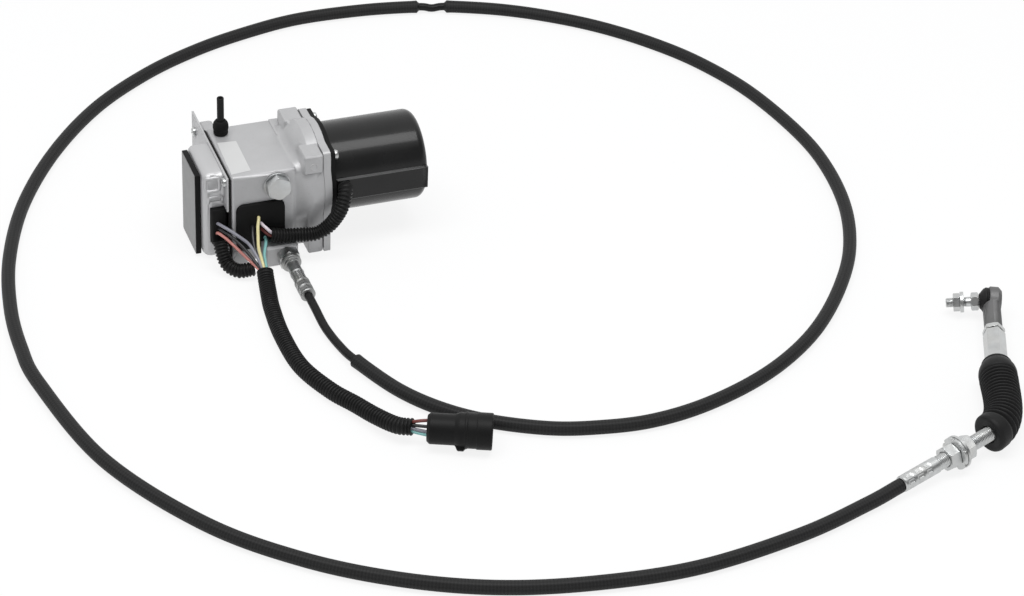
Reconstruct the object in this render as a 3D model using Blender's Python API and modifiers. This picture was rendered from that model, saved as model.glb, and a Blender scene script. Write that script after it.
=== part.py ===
"""Throttle motor: a geared electric motor that pulls an engine's throttle through a push-pull cable.

The frame is metres with +Z up. The motor's axis runs along +X at Y = 0, the gearbox stands on Z = 0, and
its wiring and cable leave the front face, towards -Y. The cable lies on the floor in one big loop and
ends in a threaded hub, a rubber boot, a rod and a ball joint.
"""

import math

import bmesh
import bpy
from mathutils import Matrix, Vector

MM = 0.001
GAP = 0.3 * MM
OVERLAP = 1.0 * MM

# Gearbox
BOX_LENGTH = 56 * MM
BOX_FRONT = -36 * MM
BOX_BACK = 44 * MM
BOX_ABOVE_AXIS = 26.5 * MM
BOX_EDGE = 2.5 * MM
WALL = 4 * MM
FLOOR_WALL = 3.5 * MM
END_WALL = 7 * MM
MOTOR_HEIGHT = 58 * MM
BOX_HEIGHT = MOTOR_HEIGHT + BOX_ABOVE_AXIS
NECK_WALL = 7.5 * MM
NECK_STEPS = 32
NECK_LENGTH = 22.3 * MM
EAR_PAST_SCREW = 3 * MM
EAR_ROUND = 4.5 * MM
LUG_PAST_EAR = 6.5 * MM
UPPER_LUG_LENGTH = 16.6 * MM
FOOT_WIDTH = 20 * MM
LOWER_LUG_LENGTH = 12.6 * MM
LUG_RECESS = 0.4 * MM
LOWER_LUG_BELOW_AXIS = 8 * MM
LOWER_LUG_TOP = MOTOR_HEIGHT - LOWER_LUG_BELOW_AXIS
NECK_WEB_IN = 3.4 * MM
FLANGE_DEPTH = 71 * MM
FLANGE_BELOW_TOP = 8.5 * MM
FLANGE_HEIGHT = BOX_HEIGHT - FLANGE_BELOW_TOP
FLANGE_THICK = 13 * MM

# End cover
GASKET_THICK = 1.4 * MM
COVER_SHEET = 1.6 * MM
COVER_EAR_BACK = 74 * MM
PAN_DEPTH = 19 * MM
PAN_FRONT = -26 * MM
PAN_BACK = 30 * MM
PAN_BOTTOM = 1.5 * MM
PAN_BELOW_TOP = 1.5 * MM
PAN_TOP = BOX_HEIGHT - PAN_BELOW_TOP
PAN_RECESSES = ((15 * MM, 4 * MM), (25 * MM, 20 * MM))
PAN_ROUND = 7 * MM
PAD_THICK = 4.2 * MM
PAD_WIDTH = 42 * MM
PAD_BOTTOM = 2.4 * MM
PAD_BELOW_TOP = 4.1 * MM
PAD_HEIGHT = BOX_HEIGHT - PAD_BELOW_TOP - PAD_BOTTOM
PAD_CENTRE_Y = 3 * MM
COVER_SCREW_RADIUS = 2 * MM
COVER_SCREW_HEAD = 4 * MM
COVER_SCREW_LENGTH = 11 * MM

# Grommets and breather
GROMMET_FROM_LEFT = 4 * MM
GROMMET_FROM_RIGHT = 10.4 * MM
GROMMET_WIDTH = BOX_LENGTH - GROMMET_FROM_LEFT - GROMMET_FROM_RIGHT
GROMMET_CENTRE_X = (GROMMET_FROM_LEFT - GROMMET_FROM_RIGHT) / 2
GROMMET_BOTTOM = 13.6 * MM
GROMMET_ROUND = 6.5 * MM
GROMMET_PROUD = 3 * MM
GROMMET_BELOW_PLUG = 3.4 * MM
COVER_GROMMET_WIDTH = 13 * MM
COVER_GROMMET_BOTTOM = 18 * MM
COVER_GROMMET_HEIGHT = 34 * MM
COVER_GROMMET_PROUD = 5 * MM
BREATHER_FROM_LEFT = 10.5 * MM
BREATHER_X = BREATHER_FROM_LEFT - BOX_LENGTH / 2
BREATHER_FROM_BACK = 11 * MM
BREATHER_Y = BOX_BACK - BREATHER_FROM_BACK
BREATHER_BELL_RADIUS = 6.6 * MM
BREATHER_BELL_HEIGHT = 13 * MM
BREATHER_TUBE_RADIUS = 3 * MM
BREATHER_TUBE_HEIGHT = 35 * MM
BREATHER_BORE = 1.5 * MM

# Filler plug
PLUG_FROM_RIGHT = 17.2 * MM
PLUG_X = BOX_LENGTH / 2 - PLUG_FROM_RIGHT
PLUG_BELOW_TOP = 12 * MM
PLUG_PAD_RADIUS = 12 * MM
PLUG_PAD_PROUD = 0.8 * MM
PLUG_FLATS = 19 * MM
PLUG_HEAD = 6.5 * MM
PLUG_THREAD_RADIUS = 6 * MM
PLUG_THREAD_LENGTH = 9 * MM
PLUG_WASHER_RADIUS = 11.5 * MM
PLUG_WASHER_THICK = 1.2 * MM

# Motor
ADAPTER_THICK = 6.3 * MM
ADAPTER_BORE = 34 * MM
MOTOR_FLANGE_THICK = 3.8 * MM
MOTOR_FLANGE_BORE = 11 * MM
CAN_RADIUS = 38 * MM
CAN_WALL = 2 * MM
CAN_LENGTH = 82 * MM
CAN_ROUND = 7 * MM
STRIP_WIDTH = 21 * MM
STRIP_PROUD = 1.6 * MM
STRIP_SHORT = 1.2 * MM
MOTOR_SCREW_RADIUS = 2.5 * MM
MOTOR_SCREW_HEAD = 4.2 * MM
MOTOR_SCREW_BESIDE_CAN = 0.934 * MM
MOTOR_SCREW_LENGTH = 18 * MM
MOTOR_SHAFT_RADIUS = 4 * MM
AIR_GAP = 3 * MM
CORE_ENDS = 40 * MM
CORE_SLOTS = 9
COMMUTATOR_RADIUS = 11 * MM
COMMUTATOR_LENGTH = 9 * MM
MAGNET_THICK = 9 * MM
MAGNET_ARC = 130
BRUSH_PLATE_THICK = 2 * MM
BRUSH_WIDTH = 7 * MM

# Planetary gears: tooth counts keep ring = sun + 2 planets
GEAR_MODULE = 1.25 * MM
SUN_TEETH = 12
PLANET_TEETH = 18
RING_TEETH = SUN_TEETH + 2 * PLANET_TEETH
PLANETS = 3
TOOTH_HALF = 0.64 * GEAR_MODULE
ADDENDUM = 0.8 * GEAR_MODULE
DEDENDUM = 1.08 * GEAR_MODULE
TOOTH_SLOPE = math.tan(math.radians(20))
GEAR_WIDTH = 9 * MM
RING_WALL = 6 * MM
PLANET_PIN = 3 * MM
CARRIER_THICK = 4 * MM
CARRIER_PAST_PIN = 1.75 * MM
BEARING_LIP = 1.5 * MM
BEARING_OUTER = 14 * MM
BEARING_INNER = 6 * MM
BEARING_WIDTH = 6.5 * MM
SHAFT_RUN = GAP

# Crank and cable core
CRANK_FROM_WALL = 5.2 * MM
CABLE_X = BOX_LENGTH / 2 - END_WALL - CRANK_FROM_WALL
CABLE_HEIGHT = 10 * MM
CRANK_THICK = 4 * MM
CRANK_HUB = 10 * MM
CRANK_TIP_HALF = 5 * MM
CRANK_PIN = 1.6 * MM
CRANK_PIN_PLAY = 0.5 * MM
CRANK_PAST_PIN = 5.2 * MM
YOKE_SIDE = 2 * MM
YOKE_BACK = 12 * MM
YOKE_HEIGHT = 8 * MM
CORE_ROD_RADIUS = 1.5 * MM
CORE_ROD_RUN = 0.5 * MM
CORE_TRAVEL = 18 * MM
SENSOR_RADIUS = 15 * MM
SENSOR_THICK = 12 * MM
SENSOR_SHAFT = 3 * MM
SENSOR_SHAFT_REACH = 6 * MM

# Cable's near end
BOSS_WIDTH = 29 * MM
BOSS_BESIDE_CABLE = 4.8 * MM
BOSS_CENTRE_X = CABLE_X - BOSS_BESIDE_CABLE
BOSS_HEIGHT = 20 * MM
BOSS_PROUD = 15 * MM
FOOT_BOSS_FROM_LEFT = 7 * MM
FOOT_BOSS_X = FOOT_BOSS_FROM_LEFT - BOX_LENGTH / 2
FOOT_BOSS_RADIUS = 6.5 * MM
FOOT_BOSS_PROUD = 5 * MM
FITTING_FLATS = 17 * MM
FITTING_NUT = 9 * MM
FITTING_LOCK_NUT = 6 * MM
FITTING_TUBE_RADIUS = 5.5 * MM
FITTING_TUBE = 26 * MM
CRIMP_RADIUS = 6.4 * MM
CRIMP_LENGTH = 19 * MM

# Cable
SLEEVE_DIAMETER = 11.5 * MM
JACKET_DIAMETER = 7.2 * MM
CONDUIT_DIAMETER = 14 * MM
MOTOR_CONDUIT_DIAMETER = 11.5 * MM
SENSOR_CONDUIT_DIAMETER = 12.5 * MM
LOOM_DIAMETER = 6 * MM

# Cable's far end
HUB_DIRECTION = math.radians(18.3)
HUB_START = (378.2 * MM, -480.1 * MM)
HUB_HEIGHT_START = 9.2 * MM
HUB_HEIGHT_END = 17.5 * MM
HUB_CRIMP_RADIUS = 6.6 * MM
HUB_CRIMP = 36.5 * MM
HUB_THREAD_RADIUS = 6 * MM
HUB_LENGTH = 97.5 * MM
HUB_BORE = 2.5 * MM
HUB_NUT_FLATS = 18 * MM
HUB_NUT_THICK = 9.5 * MM
HUB_NUT_AT = 45.5 * MM
LOCK_WASHER_RADIUS = 13.6 * MM
LOCK_WASHER_THICK = 6 * MM
ROD_DIRECTION = math.radians(66.5)
ROD_HEIGHT = 16.2 * MM
ROD_COLLAR_AT = (513.4 * MM, -369.7 * MM)
BOOT_RADIUS = 15.8 * MM
BOOT_VALLEY = 13.2 * MM
BOOT_WALL = 1.8 * MM
BOOT_FOLDS = 12
BOOT_STEPS = 12
ROD_FLATS = 16 * MM
ROD_LENGTH = 57.4 * MM
ROD_INSIDE_BOOT = 14 * MM
ROD_THREAD_RADIUS = 4.4 * MM
JAM_NUT_FLATS = 16 * MM
JAM_NUT_THICK = 5.2 * MM
ROD_END_REACH = 42 * MM
ROD_END_SHANK = 7.6 * MM
ROD_END_HEAD = 11.8 * MM
ROD_END_BACK = 8 * MM
ROD_END_FACE = 2.2 * MM
BALL_RADIUS = 5.5 * MM
STUD_DROOP = math.radians(8.5)
STUD_NECK = 3.2 * MM
STUD_COLLAR_FLATS = 13 * MM
STUD_COLLAR_THICK = 6.3 * MM
STUD_COLLAR_AT = 10.2 * MM
STUD_THREAD_RADIUS = 4 * MM
STUD_LENGTH = 37 * MM
STUD_CLAMP = 5.9 * MM
STUD_WASHER_RADIUS = 8.6 * MM
STUD_WASHER_THICK = 3 * MM
STUD_NUT_THICK = 5.3 * MM
DUST_BOOT_RADIUS = 10.6 * MM
DUST_BOOT_TOP = 6.2 * MM

# Connector
PLUG_DIRECTION = math.radians(-22)
PLUG_START = (50 * MM, -316 * MM)
PLUG_HEIGHT = 15.5 * MM
SHELL_REAR_RADIUS = 12.3 * MM
SHELL_REAR = 23 * MM
SHROUD_RADIUS = 14.6 * MM
SHROUD = 28 * MM
SHROUD_WALL = 1.8 * MM
SHROUD_DEPTH = 17 * MM
PIN_CIRCLE = 8.4 * MM
PIN_RADIUS = 1.1 * MM
PIN_LENGTH = 10 * MM
PINS = 7

# Derived: the ring and the carrier follow the gears, and the neck follows the ring
CENTRE_DISTANCE = GEAR_MODULE * (SUN_TEETH + PLANET_TEETH) / 2
RING_RADIUS = GEAR_MODULE * RING_TEETH / 2 + RING_WALL
CARRIER_RADIUS = CENTRE_DISTANCE + PLANET_PIN + CARRIER_PAST_PIN
NECK_RADIUS = RING_RADIUS + NECK_WALL

# Derived: the motor's screws pass its can, and the ears and lugs follow the screws
EAR_PITCH = (CAN_RADIUS + MOTOR_SCREW_HEAD + MOTOR_SCREW_BESIDE_CAN) / math.sqrt(2)
EAR_CORNER = EAR_PITCH + EAR_PAST_SCREW
LUG_FACE = EAR_CORNER + LUG_PAST_EAR
CORE_RADIUS = CAN_RADIUS - CAN_WALL - MAGNET_THICK - AIR_GAP
CORE_LENGTH = CAN_LENGTH - CORE_ENDS

# Derived: the wiring window ends below the plug's washer
GROMMET_TOP = BOX_HEIGHT - PLUG_BELOW_TOP - PLUG_WASHER_RADIUS - GROMMET_BELOW_PLUG
GROMMET_HEIGHT = GROMMET_TOP - GROMMET_BOTTOM

# Derived places along the motor's axis
LEFT = -BOX_LENGTH / 2
RIGHT = BOX_LENGTH / 2
NECK_END = RIGHT + NECK_LENGTH
ADAPTER_START = NECK_END + GAP
ADAPTER_END = ADAPTER_START + ADAPTER_THICK
MOTOR_FLANGE_START = ADAPTER_END + GAP
MOTOR_FLANGE_END = MOTOR_FLANGE_START + MOTOR_FLANGE_THICK
CAN_START = MOTOR_FLANGE_END + GAP
CAN_END = CAN_START + CAN_LENGTH
CRANK_CENTRE = CABLE_X
BEARING_START = RIGHT - END_WALL + BEARING_LIP + GAP
CARRIER_START = BEARING_START + BEARING_WIDTH + GAP
GEAR_END = NECK_END - 1.5 * MM
GEAR_START = GEAR_END - GEAR_WIDTH
GASKET_END = LEFT - GAP
COVER_FACE = GASKET_END - GASKET_THICK - GAP
PAN_FACE = COVER_FACE - PAN_DEPTH
PAD_FACE = PAN_FACE - GAP - PAD_THICK

# Route points on the floor, in millimetres, read from the cable's lie: x, y and height of the centre
JACKET_NEAR_ROUTE = [(15.8, -112, 10), (16.2, -130, 9), (17.5, -154, 6), (22, -180, 4.5), (27.5, -203, 4.2)]
SLEEVE_NEAR_ROUTE = [
    (27.7, -203.6, 6), (48, -250, 6), (73, -284, 6), (104, -310, 6), (146, -332, 6), (184, -342, 6),
    (224, -346, 6), (269, -340, 6), (319, -323, 6), (363, -299, 6), (404, -266, 6), (443, -221, 6),
    (475, -171, 6), (498, -112, 6), (509, -48, 6), (508, 12, 6), (493, 89, 6), (468, 150, 6),
    (438, 196, 6), (403, 235, 6), (365, 266, 6), (324, 291, 6), (278, 310, 6),
]
JACKET_GAP_ROUTE = [(277.4, 310.3, 4.2), (264, 314.2, 4.2), (251, 317.2, 4.2)]
SLEEVE_FAR_ROUTE = [
    (250.4, 317.3, 6), (200, 325, 6), (138, 326, 6), (87, 316, 6), (33, 298, 6), (-23, 269, 6),
    (-81, 224, 6), (-134, 161, 6), (-177, 88, 6), (-205, 13, 6), (-219, -55, 6), (-223, -111, 6),
    (-220, -162, 6), (-195, -271, 6), (-143, -366, 6), (-85, -428, 6), (-22, -472, 6), (45, -502, 6),
    (117, -518, 6), (195, -523, 6), (282, -510, 6), (345, -491.2, 6.4), (377.4, -480.4, 8.65),
]
MAIN_CONDUIT_ROUTE = [
    (-9, -69, 17), (-11, -78, 12.5), (-13.5, -96, 7.6), (-18, -125, 7.2), (-19.8, -160, 7.2),
    (-17, -200, 7.2),
    (-4, -237, 7.2), (12, -265.5, 8), (25, -288, 10), (34, -304, 13.4), (40.5, -311.9, 15.2),
    (48, -315.2, 15.5),
]
MOTOR_CONDUIT_ROUTE = [
    (2, -46.6, 30.5), (14, -47, 27.6), (26, -47.5, 26.4), (41, -49, 26), (51.5, -50.5, 32.5),
    (58.5, -52.5, 43),
    (62.6, -52.6, 51.5), (65.4, -50, 58.5), (67.5, -46, 62.4), (67.7, -40.9, 62.8),
]
SENSOR_CONDUIT_ROUTE = [
    (-38, -36.9, 29), (-37.5, -42.6, 21), (-36, -47.5, 12.5), (-32.4, -52.6, 7.6), (-27, -57, 6.6),
    (-19.5, -60, 8.5),
]
FRONT_LOOM_ROUTE = [(-2, -41.3, 44), (-3.2, -44, 43), (-5, -49, 37), (-6.4, -56, 28), (-8.6, -68.2, 17.6)]
COVER_LOOM_ROUTE = [
    (-34.5, -33, 44), (-32.5, -38, 42), (-24.5, -48, 33), (-16.5, -55, 24.5), (-12.5, -61, 20.5),
]

CORD_STEP = 34 * MM
CONDUIT_STEP = 16 * MM
SHORT_STEP = 6 * MM

PARTS = None
HELPERS = None


def clear_scene():
    for thing in list(bpy.data.objects):
        bpy.data.objects.remove(thing, do_unlink=True)


def new_collection(name, hidden):
    made = bpy.data.collections.new(name)
    made.hide_render = hidden
    bpy.context.scene.collection.children.link(made)
    return made


def material(name, color, roughness, metallic):
    made = bpy.data.materials.new(name)
    made.use_nodes = True
    shader = made.node_tree.nodes["Principled BSDF"]
    shader.inputs["Base Color"].default_value = (*color, 1.0)
    shader.inputs["Roughness"].default_value = roughness
    shader.inputs["Metallic"].default_value = metallic
    return made


FINISHES = {
    "paint": ((0.46, 0.46, 0.47), 0.45, 0.25),
    "pressed": ((0.60, 0.60, 0.61), 0.35, 0.6),
    "gasket": ((0.02, 0.02, 0.02), 0.8, 0.0),
    "black": ((0.015, 0.015, 0.016), 0.25, 0.0),
    "rubber": ((0.02, 0.02, 0.021), 0.6, 0.0),
    "zinc": ((0.72, 0.74, 0.78), 0.28, 1.0),
    "steel": ((0.50, 0.51, 0.53), 0.35, 1.0),
    "grey_steel": ((0.25, 0.25, 0.26), 0.45, 0.8),
    "copper": ((0.70, 0.32, 0.18), 0.35, 1.0),
    "magnet": ((0.08, 0.08, 0.085), 0.6, 0.2),
    "plastic": ((0.03, 0.03, 0.032), 0.4, 0.0),
    "wire": ((0.55, 0.52, 0.35), 0.5, 0.0),
}
MATERIALS = {}


def finish_of(key):
    if key not in MATERIALS:
        MATERIALS[key] = material(key, *FINISHES[key])
    return MATERIALS[key]


def place(origin, axis, side=None):
    """A frame whose local Z lies along the axis, with local X along the side direction."""
    z = Vector(axis).normalized()
    x = Vector(side) if side is not None else Vector((0, 0, 1)).cross(z)
    if x.length < 1e-6:
        x = Vector((1, 0, 0))
    x = (x - z * x.dot(z)).normalized()
    y = z.cross(x)
    made = Matrix((x, y, z)).transposed().to_4x4()
    made.translation = Vector(origin)
    return made


def along_motor(x):
    """Local Z along +X on the motor's axis, local X along +Y and local Y along +Z."""
    return place((x, 0, MOTOR_HEIGHT), (1, 0, 0), (0, 1, 0))


def add_object(name, mesh, where, finish, helper=False):
    thing = bpy.data.objects.new(name, mesh)
    thing.matrix_world = where
    if helper:
        thing.hide_render = True
        thing.display_type = "WIRE"
        HELPERS.objects.link(thing)
        return thing
    thing.data.materials.append(finish_of(finish))
    PARTS.objects.link(thing)
    return thing


def bevel(thing, width, segments=2, angle=40):
    made = thing.modifiers.new("rounding", "BEVEL")
    made.width = width
    made.segments = segments
    made.limit_method = "ANGLE"
    made.angle_limit = math.radians(angle)
    return thing


def boolean(thing, tool, operation):
    made = thing.modifiers.new(tool.name, "BOOLEAN")
    made.object = tool
    made.operation = operation
    made.solver = "EXACT"
    return thing


def cut(thing, *tools):
    for tool in tools:
        boolean(thing, tool, "DIFFERENCE")
    return thing


def join(thing, *tools):
    for tool in tools:
        boolean(thing, tool, "UNION")
    return thing


def block(name, low, high, finish="paint", helper=False, round_by=0.0, segments=2):
    """A box between two corners in the part's frame, with its edges rounded."""
    low, high = Vector(low), Vector(high)
    shape = bmesh.new()
    bmesh.ops.create_cube(shape, size=1.0)
    bmesh.ops.scale(shape, vec=high - low, verts=shape.verts)
    mesh = bpy.data.meshes.new(name)
    shape.to_mesh(mesh)
    shape.free()
    thing = add_object(name, mesh, Matrix.Translation((low + high) / 2), finish, helper)
    if round_by:
        bevel(thing, round_by, segments)
    return thing


def turned(name, profile, where, finish="steel", steps=24, closed=False, helper=False):
    """A profile of (radius, height) turned about local Z. It runs down its outer side, top to bottom."""
    mesh = bpy.data.meshes.new(name)
    links = [(i, i + 1) for i in range(len(profile) - 1)]
    if closed:
        links.append((len(profile) - 1, 0))
    mesh.from_pydata([(r, 0.0, h) for r, h in profile], links, [])
    thing = add_object(name, mesh, where, finish, helper)
    screw = thing.modifiers.new("turning", "SCREW")
    screw.axis = "Z"
    screw.steps = steps
    screw.render_steps = steps
    screw.use_merge_vertices = True
    screw.merge_threshold = 0.00001
    screw.use_smooth_shade = False
    return thing


def rod_shape(name, radius, low, high, where, steps=16, finish="steel", helper=True):
    """A plain round bar or hole between two heights on the local Z axis."""
    profile = [(0, high), (radius, high), (radius, low), (0, low)]
    return turned(name, profile, where, finish, steps, False, helper)


def ring_shape(name, outer, inner, low, high, where, finish="steel", steps=24, helper=False, chamfer=0.0):
    profile = [
        (inner, high), (outer - chamfer, high), (outer, high - chamfer), (outer, low + chamfer),
        (outer - chamfer, low), (inner, low),
    ]
    if not chamfer:
        profile = [(inner, high), (outer, high), (outer, low), (inner, low)]
    return turned(name, profile, where, finish, steps, True, helper)


def circle(radius, count=24, centre=(0.0, 0.0)):
    return [
        (centre[0] + radius * math.cos(math.tau * i / count),
         centre[1] + radius * math.sin(math.tau * i / count))
        for i in range(count)
    ]


def hexagon(flats, turn=0.0):
    return [
        (flats / math.sqrt(3) * math.cos(turn + math.tau * i / 6),
         flats / math.sqrt(3) * math.sin(turn + math.tau * i / 6))
        for i in range(6)
    ]


def rounded_rectangle(low, high, radius, count=4):
    """Corner arcs joined by straight sides, between two opposite corners."""
    points = []
    corners = [(high[0], high[1], 0), (low[0], high[1], 90), (low[0], low[1], 180), (high[0], low[1], 270)]
    for x, y, start in corners:
        cx = x - radius if x == high[0] else x + radius
        cy = y - radius if y == high[1] else y + radius
        for i in range(count + 1):
            angle = math.radians(start + 90 * i / count)
            points.append((cx + radius * math.cos(angle), cy + radius * math.sin(angle)))
    return points


def flat(name, outlines, thickness, where, finish="steel", helper=False):
    """A plate of local thickness from Z = 0 upwards, its first outline outside and the rest holes."""
    curve = bpy.data.curves.new(name, "CURVE")
    curve.dimensions = "2D"
    curve.fill_mode = "BOTH"
    curve.extrude = thickness / 2
    for outline in outlines:
        spline = curve.splines.new("POLY")
        spline.points.add(len(outline) - 1)
        for point, (x, y) in zip(spline.points, outline):
            point.co = (x, y, 0.0, 1.0)
        spline.use_cyclic_u = True
    rough = bpy.data.objects.new(name + "_outline", curve)
    bpy.context.scene.collection.objects.link(rough)
    graph = bpy.context.evaluated_depsgraph_get()
    mesh = bpy.data.meshes.new_from_object(rough.evaluated_get(graph))
    bpy.data.objects.remove(rough, do_unlink=True)
    shape = bmesh.new()
    shape.from_mesh(mesh)
    bmesh.ops.remove_doubles(shape, verts=shape.verts, dist=0.000005)
    bmesh.ops.recalc_face_normals(shape, faces=shape.faces)
    bmesh.ops.translate(shape, verts=shape.verts, vec=(0, 0, thickness / 2))
    shape.to_mesh(mesh)
    shape.free()
    mesh.name = name
    return add_object(name, mesh, where, finish, helper)


def nut(name, flats, thickness, bore, where, finish="zinc", turn=0.0):
    """A hex nut, its corners chamfered on both faces."""
    body = flat(name, [hexagon(flats, turn), circle(bore, 12)], thickness, where, finish)
    corner = flats / math.sqrt(3)
    drop = (corner - flats / 2) * 0.7
    drum = turned(
        name + "_chamfer",
        [(0, thickness + drop), (flats / 2 - drop * 0.4, thickness + drop), (corner + drop, thickness - drop),
         (corner + drop, drop), (flats / 2 - drop * 0.4, -drop), (0, -drop)],
        where @ Matrix.Rotation(turn, 4, "Z"), steps=12, helper=True,
    )
    boolean(body, drum, "INTERSECT")
    return body


def smooth_route(route, step):
    """Points at even steps on one smooth curve through the route's own points."""
    knots = [Vector(p) * MM for p in route]
    padded = [knots[0] * 2 - knots[1], *knots, knots[-1] * 2 - knots[-2]]
    fine = []
    for a, b, c, d in zip(padded, padded[1:], padded[2:], padded[3:]):
        for i in range(16):
            t = i / 16
            square = (2 * a - 5 * b + 4 * c - d) * t * t
            cube = (3 * b - a - 3 * c + d) * t ** 3
            fine.append(0.5 * (2 * b + (c - a) * t + square + cube))
    fine.append(knots[-1])
    lengths = [0.0]
    for a, b in zip(fine, fine[1:]):
        lengths.append(lengths[-1] + (b - a).length)
    count = max(2, round(lengths[-1] / step))
    points, index = [], 0
    for i in range(count + 1):
        goal = lengths[-1] * i / count
        while index < len(fine) - 2 and lengths[index + 1] < goal:
            index += 1
        share = (goal - lengths[index]) / (lengths[index + 1] - lengths[index])
        points.append(fine[index].lerp(fine[index + 1], min(1.0, share)))
    return points


def tube(name, points, radius, finish="rubber"):
    """A plain round cord along its points, with flat ends."""
    curve = bpy.data.curves.new(name, "CURVE")
    curve.dimensions = "3D"
    curve.bevel_depth = radius
    curve.bevel_resolution = 2
    curve.use_fill_caps = True
    spline = curve.splines.new("POLY")
    spline.points.add(len(points) - 1)
    for point, at in zip(spline.points, points):
        point.co = (*at, 1.0)
    thing = bpy.data.objects.new(name, curve)
    curve.materials.append(finish_of(finish))
    PARTS.objects.link(thing)
    return thing


def parented(thing, parent):
    """Hangs a piece on the empty that marks its joint's axis, where it already lies."""
    thing.parent = parent
    thing.matrix_parent_inverse = parent.matrix_world.inverted()
    return thing


def joint_empty(name, where):
    made = bpy.data.objects.new(name, None)
    made.empty_display_size = 0.02
    made.matrix_world = where
    PARTS.objects.link(made)
    bpy.context.view_layer.update()
    return made


def mounting_outline(grow=0.0):
    """The round flange with four ears at its screws: one outline of arcs, walked from ear to ear."""
    points = []
    radius = NECK_RADIUS + grow
    ear = EAR_ROUND + grow
    reach = EAR_CORNER + ear
    shoulder = 0.97 * math.degrees(math.acos(reach / radius)) if reach < radius else 0.0
    for quarter in range(4):
        turn = math.radians(90 * quarter)
        own = []
        for i in range(5):
            angle = math.radians(-shoulder + 2 * shoulder * i / 4)
            own.append((radius * math.cos(angle), radius * math.sin(angle)))
        for i in range(5):
            angle = math.radians(90 * i / 4)
            own.append((EAR_CORNER + ear * math.cos(angle), EAR_CORNER + ear * math.sin(angle)))
        for x, y in own:
            points.append((x * math.cos(turn) - y * math.sin(turn), x * math.sin(turn) + y * math.cos(turn)))
    return points


def ear_centres():
    return [(sy * EAR_PITCH, sz * EAR_PITCH) for sy in (-1, 1) for sz in (-1, 1)]


def cover_screw_places():
    """Front screws sit between the pan and the cover's edge, back screws on the cover's ear."""
    front = (BOX_FRONT + PAN_FRONT) / 2 - GAP
    back = FLANGE_DEPTH - 7 * MM
    return [(front, BOX_HEIGHT - 6 * MM), (front, 6 * MM), (back, FLANGE_HEIGHT - 6 * MM), (back, 10 * MM)]


def box_reach(angle):
    """How far the box's own outline lies from the motor's axis in one direction, up to the neck's radius."""
    y, z = math.cos(angle), math.sin(angle)
    reach = [NECK_RADIUS]
    if abs(y) > 1e-6:
        reach.append((BOX_BACK if y > 0 else -BOX_FRONT) / abs(y))
    if z > 1e-6:
        reach.append((BOX_HEIGHT - MOTOR_HEIGHT) / z)
    return min(reach)


def make_neck():
    """Rings that pass from the box's outline to the round flange, so the casting flares without a step."""
    shape = bmesh.new()
    rings = []
    stations = (
        (-6, 0.0, 1.5), (0.4, 0.06, 0.4), (4, 0.4, 0.2), (8, 0.78, 0.1), (13, 1.0, 0.0), (None, 1.0, 0.0),
    )
    for x, share, shrink in stations:
        ring = []
        for i in range(NECK_STEPS):
            angle = math.tau * (i + 0.5) / NECK_STEPS
            start = box_reach(angle)
            radius = start + (NECK_RADIUS - start) * share - shrink * MM
            at = NECK_END if x is None else RIGHT + x * MM
            y, z = radius * math.cos(angle), MOTOR_HEIGHT + radius * math.sin(angle)
            ring.append(shape.verts.new((at, y, z)))
        rings.append(ring)
    for first, second in zip(rings, rings[1:]):
        for i in range(NECK_STEPS):
            j = (i + 1) % NECK_STEPS
            shape.faces.new((first[i], first[j], second[j], second[i]))
    shape.faces.new(rings[0])
    shape.faces.new(rings[-1])
    bmesh.ops.recalc_face_normals(shape, faces=shape.faces)
    mesh = bpy.data.meshes.new("neck_shape")
    shape.to_mesh(mesh)
    shape.free()
    return add_object("neck_shape", mesh, Matrix.Identity(4), "paint", True)


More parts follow.
